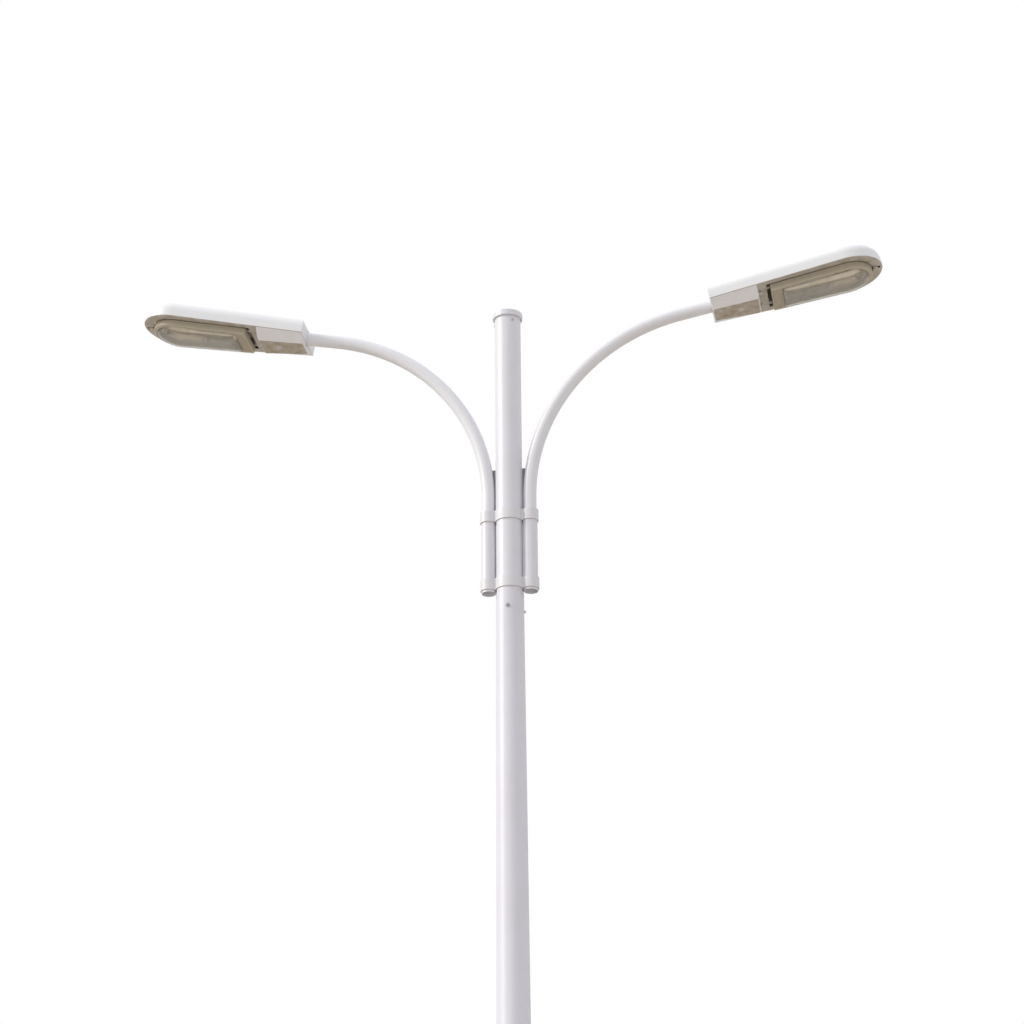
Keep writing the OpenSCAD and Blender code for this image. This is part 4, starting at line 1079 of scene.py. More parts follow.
@dataclass
class Bracket:
    """Two bands that hold a sleeve on each side of the head tube."""

    band_thick: float = 5 * MM
    clear: float = 0.1 * MM
    sleeve_wall: float = 2.7 * MM
    valley: float = 5 * MM

    def __post_init__(self) -> None:
        """Reads the bracket's own sizes from the frame."""
        low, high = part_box("sleeve_right")
        self.sleeve_r = (high.y - low.y) / 2
        self.sleeve_x = (high.x + low.x) / 2
        self.sleeve_low, self.sleeve_high = low.z, high.z
        self.head_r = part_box("head_tube")[1].x

    def build(self, repeats: Repeats) -> None:
        """Makes the bands, sleeves, webs and screws."""
        for node in ("upper_band", "lower_band"):
            self.build_band(node)
        for side in Side:
            profile = pipe_profile(self.sleeve_r, self.sleeve_r - self.sleeve_wall, self.sleeve_low,
                                   self.sleeve_high, 1.1 * MM)
            name = "sleeve_" + side.tag
            tube = finished(name + "_finished", turned(profile, 96), HEAD_PAINT,
                            Matrix.Translation((side.value * self.sleeve_x, 0, 0)))
            install(tube, Body.COLUMN.on(), "pole_paint", name)
            # The web's dark grey finish is painted shade.
            eased_copy("web_" + side.tag, SHADED_WEB_PAINT, "grey_primer", Body.COLUMN.on(), 0.7 * MM)
        self.build_set_screws(repeats)
        self.build_beads(repeats)

    def band_outline(self) -> list[Point2]:
        """The outer edge of three rings in a row, with soft valleys."""
        over = self.clear + self.band_thick
        head, sleeve = self.head_r + over, self.sleeve_r + over
        apart = self.sleeve_x
        fill = self.valley
        reach_a, reach_b = head + fill, sleeve + fill
        x = (reach_a ** 2 - reach_b ** 2 + apart ** 2) / (2 * apart)
        y = math.sqrt(reach_a ** 2 - x ** 2)
        up_head = math.degrees(math.atan2(y, x))
        up_sleeve = math.degrees(math.atan2(y, x - apart))
        quarter = arc((apart, 0.0), sleeve, 0, up_sleeve, 24)
        quarter += arc((x, y), fill, up_sleeve + 180, up_head + 180, 6)
        quarter += arc((0.0, 0.0), head, up_head, 90, 20)
        half = quarter + [(-px, py) for px, py in reversed(quarter[:-1])]
        return half + [(px, -py) for px, py in reversed(half[1:-1])]

    def build_band(self, node: str) -> None:
        """One band with its three bores."""
        low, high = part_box(node)
        bores = [arc((0.0, 0.0), self.head_r + self.clear, 0, 360, 95)[:-1]]
        bores += [arc((s.value * self.sleeve_x, 0.0), self.sleeve_r + self.clear, 0, 360,
                      71)[:-1] for s in Side]
        bm = plate(self.band_outline(), bores, low.z, high.z, 1.0 * MM)
        install(finished(node + "_finished", bm, BAND_PAINT), Body.COLUMN.on(), "pole_paint", node)

    def build_set_screws(self, repeats: Repeats) -> None:
        """Two screws through each sleeve's back onto its arm."""
        low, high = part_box("arm_set_screws")
        screw = hex_screw(13 * MM, 6 * MM, 8 * MM, 4 * MM, 5 * MM)
        screw.transform(Matrix.Rotation(math.pi / 2, 4, "Z"))
        spread = high.z - low.z - 15 * MM
        rows = []
        for side in Side:
            start = (side.value * self.sleeve_x, self.sleeve_r + 0.1 * MM, low.z + 7.5 * MM)
            rows.append(repeats.in_row("row", screw.copy(), STEEL, 2, start, (0, 0, spread)))
        screw.free()
        install(joined("arm_set_screws_finished", rows), Body.COLUMN.on(), "stainless_fasteners",
                "arm_set_screws")

    def build_beads(self, repeats: Repeats) -> None:
        """Weld beads that hold the webs to the head tube."""
        low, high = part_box("web_right")
        paths = []
        for side in Side:
            for y in (low.y - 1 * MM, high.y + 1 * MM):
                x = side.value * (math.sqrt(self.head_r ** 2 - y ** 2) + 1 * MM)
                paths.append(([Vector((x, y, low.z + 4 * MM)), Vector((x, y, high.z - 3 * MM))], False))
        install(repeats.along("web_weld_beads", paths, HEAD_PAINT, 4 * MM), Body.COLUMN.on(), "pole_paint")


@dataclass
class Arm:
    """One bent arm tube, from its sleeve into its luminaire."""

    side: Side
    seat: "Seat"
    wall: float = 4 * MM
    bend_r: float = 878 * MM
    straight: float = 151 * MM
    spigot: float = 110 * MM

    def build(self) -> None:
        """Makes the arm as one swept tube with rounded ends."""
        low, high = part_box("arm_right")
        radius = (high.y - low.y) / 2
        x = sum(corner.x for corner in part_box("sleeve_right")) / 2
        rise = self.seat.rise
        end = self.seat.local(self.spigot, 0.0, self.seat.spigot_up, Side.RIGHT)
        outward_dir = Vector((math.cos(rise), 0, math.sin(rise)))
        bend_end = end - outward_dir * (self.spigot + self.straight)
        middle = Vector((bend_end.x + self.bend_r * math.sin(rise), 0,
                         bend_end.z - self.bend_r * math.cos(rise)))
        path: list[tuple[Vector, float]] = [(Vector((x, 0, z)), math.pi / 2)
                                            for z in (low.z, (low.z + middle.z) / 2)]
        steps = 48
        for k in range(steps + 1):
            a = (math.pi / 2 - rise) * k / steps
            path.append((middle + self.bend_r * Vector((-math.cos(a), 0, math.sin(a))), math.pi / 2 - a))
        path.append((end, rise))
        bm = loft(self.tube_loops(path, radius), Ends.RINGED)
        bm.transform(Matrix.Diagonal((self.side.value, 1, 1, 1)))
        outward(bm)
        name = "arm_" + self.side.tag
        install(finished(name + "_finished", bm, ARM_PAINT), Body.COLUMN.on(), "pole_paint", name)

    def tube_loops(self, path: Sequence[tuple[Vector, float]], radius: float) -> list[Loop]:
        """Loops up the outside of the tube and back down its bore.

        Args:
            path: Points on the middle line with their slope in radians.
            radius: Outer radius.

        Returns:
            The loops in order.
        """
        soft = 1.2 * MM

        def loop(point: Vector, slope: float, r: float, slide: float) -> Loop:
            """One circle square to the path."""
            ahead = Vector((math.cos(slope), 0, math.sin(slope)))
            up = Vector((-math.sin(slope), 0, math.cos(slope)))
            count = 64
            return [point + ahead * slide + up * (r * math.cos(math.tau * k / count))
                    + Vector((0, r * math.sin(math.tau * k / count), 0)) for k in range(count)]

        first, last = path[0], path[-1]
        outer = [loop(*first, radius - soft, 0.0), loop(*first, radius, soft)]
        outer += [loop(p, s, radius, 0.0) for p, s in path[1:-1]]
        outer += [loop(*last, radius, -soft), loop(*last, radius - soft, 0.0)]
        inner_r = radius - self.wall
        inner = [loop(p, s, inner_r, 0.0) for p, s in reversed(path)]
        return outer + inner


# ---------------------------------------------------------------- luminaire


@dataclass
class Seat:
    """Where a luminaire sits on its arm, read from the frame's joints."""

    lens_pin: Point2 = (271 * MM, 6 * MM)
    spigot_up: float = 24 * MM

    def __post_init__(self) -> None:
        """Works the slope and the origin out of the right-hand joints."""
        joints = {j["name"]: j for j in frame["joints"]}
        slide = Vector(joints["lens_catch_slide_right"]["axis"])
        self.rise = math.atan2(-slide.z, -slide.x)
        pin = Vector(joints["lens_hinge_right"]["pos_m"])
        self.ahead = Vector((math.cos(self.rise), 0, math.sin(self.rise)))
        self.up = Vector((-math.sin(self.rise), 0, math.cos(self.rise)))
        self.origin = pin - self.ahead * self.lens_pin[0] - self.up * self.lens_pin[1]

    def local(self, x: float, y: float, z: float, side: Side) -> Vector:
        """A point of the luminaire's own frame in the row frame."""
        return self.matrix(side) @ Vector((x, y, z))

    def matrix(self, side: Side) -> Matrix:
        """The luminaire's own frame in the row frame, mirrored on the left."""
        turn = Matrix((
            (self.ahead.x, 0, self.up.x, self.origin.x), (0, 1, 0, 0),
            (self.ahead.z, 0, self.up.z, self.origin.z), (0, 0, 0, 1)))
        return Matrix.Diagonal((side.value, 1, 1, 1)) @ turn


@dataclass(frozen=True)
class Plan:
    """An outline with a straight rear edge, slanted sides and a round nose."""

    rear: float
    rear_half: float
    nose_x: float
    nose_r: float

    @property
    def slant(self) -> float:
        """The angle that each side makes with the X axis."""
        run = self.nose_x - self.rear
        return math.asin(self.nose_r / math.hypot(run, self.rear_half)) - math.atan2(self.rear_half, run)

    def half(self, x: float) -> float:
        """Half the width at x, behind the nose."""
        return self.rear_half + (x - self.rear) * math.tan(self.slant)

    def outline(self, inset: float = 0.0, rear: Optional[float] = None, corner: float = 0.0,
                sides: int = 16, nose: int = 48, back: int = 12) -> list[Point2]:
        """The outline drawn in by an inset.

        Args:
            inset: How far the sides and the nose draw in.
            rear: X of the rear edge.
            corner: Radius of the rear corners.
            sides: Steps along each side.
            nose: Steps round the nose.
            back: Steps along the rear edge.

        Returns:
            Its points, counterclockwise from the rear corner on the -Y side.
        """
        x0 = self.rear if rear is None else rear
        a, r = self.slant, self.nose_r - inset
        y0 = self.half(x0) - inset / math.cos(a)
        touch = (self.nose_x - r * math.sin(a), r * math.cos(a))
        turn = corner * math.tan((math.pi / 2 - a) / 2) if corner else 0.0
        start = (x0 + turn * math.cos(a), y0 + turn * math.sin(a))
        right = [(start[0] + (touch[0] - start[0]) * k / sides,
                  -(start[1] + (touch[1] - start[1]) * k / sides))
                 for k in range(sides)]
        tip = arc((self.nose_x, 0.0), r, -90 - math.degrees(a), 90 + math.degrees(a), nose)
        left = [(x, -y) for x, y in reversed(right)]
        if not corner:
            rear_line = [(x0, y0 - 2 * y0 * k / back) for k in range(1, back)]
            return right + tip + left + rear_line
        middle = (x0 + corner, y0 - turn)
        bend = arc(middle, corner, 90 + math.degrees(a), 180, 5)
        rear_line = [(x0, (y0 - turn) * (1 - 2 * k / back)) for k in range(1, back)]
        return right + tip + left + bend[1:] + rear_line + [(x, -y) for x, y in reversed(bend[1:])]


def lifted(points: Sequence[Point2], z: float) -> Loop:
    """Plan points as a loop at a height."""
    return [Vector((x, y, z)) for x, y in points]


@dataclass
class Luminaire:
    """One luminaire: canopy, lens, lamp chamber, gear and gear cover."""

    side: Side
    seat: Seat
    repeats: Repeats
    plan: Plan = Plan(0.0, 125 * MM, 637 * MM, 166 * MM)
    lens: Plan = Plan(279 * MM, 104 * MM, 634 * MM, 118 * MM)
    side_height: float = 32 * MM
    shoulder_height: float = 50 * MM
    shoulder_reach: float = 52 * MM
    crown: float = 5 * MM
    rear_round: float = 26 * MM
    wall: float = 3 * MM
    lip: float = 3 * MM
    gear_lip: float = 12 * MM
    bar_rear: float = 223 * MM
    bar_front: float = 263 * MM
    gap: float = 5 * MM
    tip: float = 752 * MM
    arm_r: float = 30 * MM
    frame_depth: float = 28 * MM
    frame_side: float = 22 * MM
    frame_bar: float = 52 * MM
    bowl_depth: float = 50 * MM
    glass: float = 4 * MM
    lamp_z: float = 36 * MM
    lens_ear_y: float = 70 * MM
    cover_pin: Point2 = (227 * MM, -9 * MM)
    cover_ear_y: float = 58 * MM
    ear_r: float = 6 * MM
    ear_thick: float = 6 * MM
    ear_edge: float = 0.8 * MM
    pin_bore: float = 3.06 * MM
    knuckle_step: float = 6.5 * MM
    arm_clear: float = 0.3 * MM
    drain_r: float = 11 * MM
    drain_over: float = 9 * MM
    cover_length: float = 221 * MM
    cover_rear_depth: float = 27 * MM
    cover_front_depth: float = 38 * MM
    cover_rear_half: float = 56 * MM
    cover_front_half: float = 68 * MM
    cover_brow_half: float = 76 * MM
    cover_brow: float = 9 * MM
    cover_skin: float = 2.4 * MM
    screw_x: float = 130 * MM

    def __post_init__(self) -> None:
        """Keeps the place of this side and the roof's height."""
        self.place = self.seat.matrix(self.side)
        self.tag = self.side.tag
        self.top = self.side_height + self.shoulder_height + self.crown

    def build(self) -> None:
        """Makes every piece of the luminaire."""
        self.build_canopy()
        self.build_reflector()
        self.build_lamp()
        self.build_lens()
        self.build_cover()
        self.build_gear()

    def fit(self, piece: Piece, body: Body, slot: str, *nodes: str) -> Piece:
        """Installs a piece on this side."""
        names = [n + "_" + self.tag for n in nodes]
        return install(piece, body.on(self.side), slot, *names)

    def eased(self, node: str, finish: Finish, slot: str, body: Body = Body.COLUMN,
              edge: float = 0.8 * MM) -> Piece:
        """A rounded copy of one of this side's CAD nodes."""
        return eased_copy(node + "_" + self.tag, finish, slot, body.on(self.side), edge)

    # -------------------------------------------------------- canopy

    def build_canopy(self) -> None:
        """The pressed shell, its return lip with both openings, and its ears."""
        shell = self.canopy_shell()
        lip = self.canopy_lip()
        bits = [self.ear_piece(self.seat.lens_pin, self.bar_front - 4 * MM, self.lens_ear_y),
                self.ear_piece(self.cover_pin, self.bar_rear + 12 * MM, self.cover_ear_y),
                self.saddle_block()]
        whole = joined("canopy_" + self.tag + "_finished", [shell, lip, *bits], 30.0)
        self.fit(whole, Body.COLUMN, "canopy_paint", "canopy")

    def canopy_shell(self) -> Piece:
        """The outer skin with its wall, the arm's hole and the drain hole."""
        edge, shoulder_z = 2.2 * MM, self.side_height + self.shoulder_height
        outer = [(x, x, z) for x, z in arc((edge, edge), edge, 270, 180, 4)]
        outer += [(0.0, 0.0, z) for z in (12 * MM, 22 * MM, 30 * MM)]
        inner = [(self.wall, self.wall, z) for z in (1 * MM, 14 * MM, 27 * MM)]
        steps = 14
        for k in range(steps + 1):
            u = math.pi / 2 * k / steps
            draw, rear = self.shoulder_reach * (1 - math.cos(u)), self.rear_round * (1 - math.cos(u))
            z = self.side_height + self.shoulder_height * math.sin(u)
            outer.append((draw + 0.2 * MM * k / steps, rear, z))
            inner.append((draw + self.wall, rear + self.wall, z - self.wall))
        for k in range(1, 6):
            t = k / 5
            row = (self.shoulder_reach * (1 + 0.8 * t), self.rear_round * (1 + t),
                   shoulder_z + self.crown * (1 - (1 - t) ** 2))
            outer.append(row)
            inner.append((row[0] + self.wall, row[1] + self.wall, row[2] - self.wall))
        loops = [lifted(self.plan.outline(i, r, sides=20, nose=64, back=20), z)
                 for i, r, z in inner[::-1] + outer]
        shell = finished("shell", loft(loops), CANOPY_PAINT)
        drain_z = self.seat.spigot_up + self.arm_r + self.drain_over
        drain = bar_along_x(self.drain_r, -7 * MM, 21 * MM, drain_z, 44)
        cut(shell, [self.arm_hole(-10 * MM, 14 * MM), drain])
        self.move(shell)
        return shell

    def arm_hole(self, start: float, end: float) -> Mesh:
        """What is cut away for the arm, from start to end along it."""
        return bar_along_x(self.arm_r + self.arm_clear, start, end, self.seat.spigot_up)

    def move(self, piece: Piece) -> None:
        """Lays a mesh made in the luminaire's own frame onto the arm."""
        piece.data.transform(self.place)
        if self.place.determinant() < 0:
            piece.data.flip_normals()

    def canopy_lip(self) -> Piece:
        """The flat return lip with the gear opening, lens opening and catch slot."""
        outer = self.plan.outline(self.wall - 0.2 * MM, self.wall - 0.2 * MM)
        x0, x1 = self.gear_lip, self.bar_rear - 4 * MM
        y0, y1 = (self.plan.half(x) - self.gear_lip for x in (x0, x1))
        gear = rounded_corners([(x0, -y0), (x1, -y1), (x1, y1), (x0, y0)], 5 * MM)
        lens = self.lens.outline(-self.gap, self.bar_front, corner=4 * MM)
        slot_x = self.tip + 10 * MM
        slot = rounded_corners([(slot_x, -9.5 * MM), (slot_x + 30 * MM, -9.5 * MM),
                                (slot_x + 30 * MM, 9.5 * MM), (slot_x, 9.5 * MM)], 2 * MM)
        lip = finished("lip", plate(outer, [gear, lens, slot], 0.1 * MM, self.lip, 0.9 * MM), CANOPY_PAINT)
        cut(lip, [self.arm_hole(-10 * MM, 40 * MM)])
        self.move(lip)
        return lip

    def ear_piece(self, pin: Point2, root_x: float, y: float) -> Piece:
        """Two hinge ears with their pin holes, one each side of the middle."""
        x, z = pin
        r = self.ear_r
        ahead = root_x > x
        low, high = (z - r * 0.2, self.lip) if z < 0 else (0.5 * MM, z + r * 0.2)
        if ahead:
            outline = arc((x, z), r, 90, 270, 16) + [(root_x, low), (root_x, high)]
        else:
            outline = arc((x, z), r, -90, 90, 16) + [(root_x, high), (root_x, low)]
        return self.hinge_pair(outline, pin, y, CANOPY_PAINT)

    def hinge_pair(self, outline: Sequence[Point2], pin: Point2, y: float, finish: Finish) -> Piece:
        """Two plates with pin holes, standing along the hinge at -y and y."""
        bm = bmesh.new()
        for s in (-1, 1):
            bore = arc(pin, self.pin_bore, 0, 360, 24)[:-1]
            one = plate(outline, [bore], -self.ear_thick / 2, self.ear_thick / 2, self.ear_edge)
            add_mesh(bm, one, Matrix.Translation((0, s * y, 0)) @ Matrix.Rotation(math.pi / 2, 4, "X"))
        return finished("hinge_pair", bm, finish, self.place)

    def saddle_block(self) -> Piece:
        """The block over the arm and the two bosses for the clamp's bolts."""
        roof = self.top - self.wall
        low = self.seat.spigot_up + 10 * MM
        block = rounded_box((30 * MM, 2 * self.arm_r, roof - low), (50 * MM, 0, (roof + low) / 2), 2 * MM)
        hollow = finished("block", block, CANOPY_PAINT)
        cut(hollow, [self.arm_hole(20 * MM, 80 * MM)])
        self.move(hollow)
        bm = bmesh.new()
        foot = self.seat.spigot_up - 8 * MM
        for s in (-1, 1):
            boss = turned(pipe_profile(9 * MM, 4.1 * MM, foot, roof, 0.9 * MM), 40)
            add_mesh(bm, boss, Matrix.Translation((50 * MM, s * (self.arm_r + 12 * MM), 0)))
        bosses = finished("bosses", bm, CANOPY_PAINT, self.place)
        return joined("saddle_block", [hollow, bosses])

    # -------------------------------------------------------- lamp chamber

    def build_reflector(self) -> None:
        """The fluted reflector with its flange and the lamp's hole."""
        rear = 332 * MM
        flute, depth = 3, 0.9 * MM

        def loop(inset: float, back: float, z: float, wave: float) -> Loop:
            """One loop of the wall, fluted by a wave."""
            points = self.lens.outline(inset, rear + back, sides=60, nose=120, back=30)
            middle = Vector((self.lens.nose_x - 120 * MM, 0, 0))
            out = []
            for k, (x, y) in enumerate(points):
                away = Vector((x, y, 0)) - middle
                shift = wave * (0.5 - 0.5 * math.cos(math.tau * k / flute / 2))
                out.append(Vector((x, y, z)) - away.normalized() * shift)
            return out

        low, high = 4.2 * MM, 66 * MM
        loops = [loop(-8.8 * MM, -11.8 * MM, low, 0), loop(13.5 * MM, -0.5 * MM, low, 0)]
        steps = 16
        for k in range(steps + 1):
            t = k / steps
            z = low + (high - low) * math.sin(t * math.pi / 2)
            inset = 14 * MM + 42 * MM * (1 - math.cos(t * math.pi / 2)) ** 1.1
            loops.append(loop(inset, 10 * MM * t, z, depth * min(1.0, 4 * t) * (1 - t * 0.5)))
        dish = finished("dish", loft(loops, Ends.LAST_CLOSED), MIRROR)
        walled(dish, 1.2 * MM)
        hole = bar_along_x(28.5 * MM, 300 * MM, 362 * MM, self.lamp_z, 64)
        catch = rounded_box((60 * MM, 32 * MM, 10 * MM), (self.tip + 31 * MM, 0, low), 1 * MM)
        cut(dish, [hole, catch])
        self.move(dish)
        self.fit(joined("reflector_" + self.tag + "_finished", [dish], 24.0), Body.COLUMN,
                 "bright_reflector", "reflector")

    def build_lamp(self) -> None:
        """The tubular lamp with its arc tube, frame wires and screw cap, and the holder."""
        axis = along_x(self.lamp_z)
        base, radius, wall = 350 * MM, 23 * MM, 1.3 * MM
        length = 235 * MM
        end = base + length

        def envelope(skin: float) -> list[Point2]:
            """The glass's profile drawn in by a skin."""
            r = radius - skin
            points = [(17.5 * MM - skin, base - 4 * MM), (17.5 * MM - skin, base + 3 * MM),
                      (19 * MM - skin, base + 8 * MM), (22 * MM - skin, base + 15 * MM),
                      (r, base + 22 * MM)]
            points += [(r, base + 22 * MM + (length - radius - 22 * MM) * k / 5) for k in range(1, 6)]
            points += [(r * math.cos(a), end - radius + r * math.sin(a))
                       for a in (math.pi / 2 * k / 8 for k in range(1, 9))]
            return points

        skins = envelope(0.0) + envelope(wall)[::-1]
        glass = finished("lamp_" + self.tag + "_envelope", turned(skins, 64), LAMP_GLASS, self.place @ axis)
        self.fit(glass, Body.COLUMN, "lamp_envelope", "lamp")
        core = turned([(0, 395 * MM), (2.2 * MM, 395 * MM), (2.2 * MM, 401 * MM), (4.6 * MM, 403 * MM),
                       (4.6 * MM, 523 * MM), (2.2 * MM, 525 * MM), (2.2 * MM, 531 * MM), (0, 531 * MM)], 32)
        self.fit(finished("lamp_" + self.tag + "_arc_tube", core, LAMP_CORE, self.place @ axis),
                 Body.COLUMN,
                 "lamp_envelope")
        self.build_lamp_metal(axis, base, end)
        self.eased("lampholder", CERAMIC, "lampholder_ceramic", edge=1.2 * MM)

    def build_lamp_metal(self, axis: Matrix, base: float, end: float) -> None:
        """The lamp's wires, straps and threaded cap."""
        wires = bmesh.new()
        for y, z0, z1 in ((12 * MM, base, end - 14 * MM), (-9 * MM, base, 398 * MM)):
            rod = turned([(0, z0), (1.1 * MM, z0), (1.1 * MM, z1), (0, z1)], 12)
            add_mesh(wires, rod, Matrix.Translation((y, 0, 0)))
        for z in (398 * MM, 528 * MM):
            strap = rounded_box((24 * MM, 4 * MM, 1.4 * MM), (1.5 * MM, 0, z), 0.5 * MM)
            add_mesh(wires, strap)
        clip = turned(pipe_profile(14 * MM, 12.8 * MM, end - 22 * MM, end - 17 * MM, 0.5 * MM), 40)
        add_mesh(wires, clip)
        self.fit(finished("lamp_" + self.tag + "_frame_wires", wires, STEEL, self.place @ axis),
                 Body.COLUMN,
                 "lamp_envelope")
        turns, steps = 6, 6
        start, stop = base - 36 * MM, base - 6 * MM
        profile = [(0.0, start - 4 * MM), (6 * MM, start - 4 * MM), (11 * MM, start)]
        for k in range(turns * steps + 1):
            z = start + (stop - start) * k / (turns * steps)
            profile.append((18.2 * MM + 0.7 * MM * math.cos(math.tau * k / steps), z))
        profile += [(18.6 * MM, base - 3 * MM), (18.6 * MM, base + 1 * MM), (0.0, base + 1 * MM)]
        cap = finished("lamp_" + self.tag + "_screw_cap", turned(profile, 56), BRASS, self.place @ axis)
        self.fit(cap, Body.COLUMN, "lamp_envelope")

    # -------------------------------------------------------- lens

    def build_lens(self) -> None:
        """The cast frame with its ribs and lugs, the glass bowl, gasket and catch."""
        self.build_lens_frame()
        self.build_bowl()
        self.eased("lens_gasket", RUBBER, "black_rubber", Body.LENS, 0.2 * MM)
        self.eased("lens_catch", SHADED_FRAME_PAINT, "cover_paint", Body.CATCH, 0.8 * MM)

    def build_lens_frame(self) -> None:
        """The ring round the glass, with a recessed, ribbed bar at the hinge."""
        front = self.lens.rear + self.frame_bar
        outer = self.lens.outline(0.0, self.lens.rear, corner=5 * MM)
        inner = self.lens.outline(self.frame_side, front, corner=6 * MM)
        ring = finished("ring", plate(outer, [inner], -self.frame_depth, 2 * MM, 3.6 * MM), SHADED_FRAME_PAINT)
        recess = rounded_box((40 * MM, 176 * MM, 10 * MM),
                             (self.lens.rear + 25 * MM, 0, -self.frame_depth - 1 * MM), 2.4 * MM)
        pocket = rounded_box((15 * MM, 32 * MM, 6 * MM), (self.tip + 3 * MM, 0, -10.5 * MM), 0.5 * MM)
        cut(ring, [recess, pocket])
        self.move(ring)
        rib = rounded_box((4.4 * MM, 170 * MM, 5 * MM), (0, 0, 0), 1.9 * MM, 3)
        ribs = self.repeats.in_row("ribs", rib, SHADED_FRAME_PAINT, 4,
                                   (self.lens.rear + 9 * MM, 0, -self.frame_depth + 2.6 * MM),
                                   (10.6 * MM, 0, 0), self.place)
        x, z = self.seat.lens_pin
        root = self.lens.rear + 5 * MM
        outline = arc((x, z), self.ear_r, 0, 270, 20) + [(root, z - self.ear_r), (root, z)]
        lugs = self.hinge_pair(outline, (x, z), self.lens_ear_y + self.knuckle_step, SHADED_FRAME_PAINT)
        whole = joined("lens_frame_" + self.tag + "_finished", [ring, ribs, lugs], 30.0)
        self.fit(whole, Body.LENS, "frame_paint", "lens_frame")

    def build_bowl(self) -> None:
        """The clear bowl with its rim in the frame's seat."""
        inset, rear = self.frame_side + 0.3 * MM, self.lens.rear + self.frame_bar + 0.3 * MM
        rim = 8 * MM
        rows = [(inset - rim, rear - rim, -8 * MM), (inset - 1.6 * MM, rear - 1.6 * MM, -8 * MM),
                (inset - 0.5 * MM, rear - 0.5 * MM, -8.5 * MM), (inset, rear, -9.6 * MM),
                (inset, rear, -18 * MM),
                (inset, rear, -self.frame_depth + 2 * MM)]
        steps = 12
        swell = 46 * MM
        for k in range(steps + 1):
            u = math.pi / 2 * k / steps
            rows.append((inset + swell * (1 - math.cos(u)), rear + swell * (1 - math.cos(u)),
                         -self.frame_depth - (self.bowl_depth - self.frame_depth) * math.sin(u)))
        loops = [lifted(self.lens.outline(i, r, sides=18, nose=56, back=14), z) for i, r, z in rows]
        bowl = finished("bowl", loft(loops, Ends.LAST_CLOSED), BOWL_GLASS)
        up_faces = sum(f.normal.z * f.area for f in bowl.data.polygons)
        if up_faces > 0:
            bowl.data.flip_normals()
        walled(bowl, self.glass)
        self.move(bowl)
        self.fit(joined("lens_glass_" + self.tag + "_finished", [bowl], 50.0), Body.LENS, "lens_glass",
                 "lens_glass")

    # -------------------------------------------------------- gear

    def build_gear(self) -> None:
        """The arm clamp and the control gear on its tray."""
        for node, finish, slot, edge in (
                ("saddle_clamp", CASTING, "clamp_casting", 1.5),
                ("gear_tray", ZINC, "galvanised_plate", 0.4),
                ("ignitor", CASE, "ignitor_case", 1.6), ("capacitor", CAN, "capacitor_can", 1.5),
                ("terminal_block", TERMINAL, "terminal_ceramic", 0.8)):
            self.eased(node, finish, slot, edge=edge * MM)
        self.build_ballast()
        self.build_terminal_screws()

    def build_ballast(self) -> None:
        """A ballast: a stack of laminations round a varnished winding."""
        size = Vector((66 * MM, 62 * MM, 52 * MM))
        low = Vector((self.bar_rear - 8 * MM - size.x, -size.y / 2, 5 * MM))
        count = 32
        pitch = size.x / count
        sheet = rounded_box((pitch * 0.82, size.y, size.z), (pitch / 2, size.y / 2, size.z / 2), 0.2 * MM,
                            1)
        stack = self.repeats.in_row("ballast_" + self.tag + "_laminations", sheet, LAMINATION, count,
                                    tuple(low),
                                    (pitch, 0, 0), self.place)
        self.fit(stack, Body.COLUMN, "ballast_enamel", "ballast")
        core = rounded_box((size.x - 16 * MM, size.y + 7.6 * MM, size.z - 16 * MM),
                           tuple(low + size / 2), 3 * MM, 3)
        self.fit(finished("ballast_" + self.tag + "_winding", core, VARNISH, self.place), Body.COLUMN,
                 "ballast_enamel")

    def build_terminal_screws(self) -> None:
        """Three brass screws down in the terminal block's wells."""
        screw = button_screw(3.2 * MM, 2 * MM, 1.3 * MM, 1.5 * MM, 3 * MM)
        screw.transform(Matrix.Rotation(-math.pi / 2, 4, "Y"))
        way = 40 * MM / 3
        row = self.repeats.in_row("terminal_" + self.tag + "_screws", screw, BRASS, 3,
                                  (60 * MM + way / 2, 85 * MM, 17.2 * MM), (way, 0, 0), self.place)
        self.fit(row, Body.COLUMN, "terminal_ceramic")

    # -------------------------------------------------------- gear cover

    def build_cover(self) -> None:
        """The pressed cover with its screw dish and hinge knuckles."""
        shell = self.cover_shell()
        floor = self.cover_floor(self.screw_x)
        dish = turned([(5.06 * MM, floor + 9.5 * MM), (5.06 * MM, floor + 8 * MM),
                       (11 * MM, floor + 7.4 * MM),
                       (12 * MM, floor + 6.4 * MM), (12 * MM, floor + 0.6 * MM),
                       (13.6 * MM, floor - 0.5 * MM),
                       (15.4 * MM, floor + 0.4 * MM), (15.4 * MM, floor + 9.5 * MM)], 56)
        dish_piece = finished("dish", dish, COVER_PAINT,
                              self.place @ Matrix.Translation((self.screw_x, 0, 0)))
        x, z = self.cover_pin
        root = self.cover_length - 2 * MM
        outline = arc((x, z), self.ear_r, -90, 90, 18) + [(root, z + self.ear_r), (root, z - self.ear_r)]
        knuckles = self.hinge_pair(outline, (x, z), self.cover_ear_y + self.knuckle_step, COVER_PAINT)
        whole = joined("gear_cover_" + self.tag + "_finished", [shell, dish_piece, knuckles], 26.0)
        self.fit(whole, Body.COVER, "cover_paint", "gear_cover")
        self.build_cover_screw(floor)

    def cover_floor(self, x: float) -> float:
        """Height of the cover's sloping bottom at x."""
        rear = (4 * MM, -self.cover_rear_depth)
        front = (self.cover_length - self.cover_brow, -self.cover_front_depth)
        return rear[1] + (front[1] - rear[1]) * (x - rear[0]) / (front[0] - rear[0])

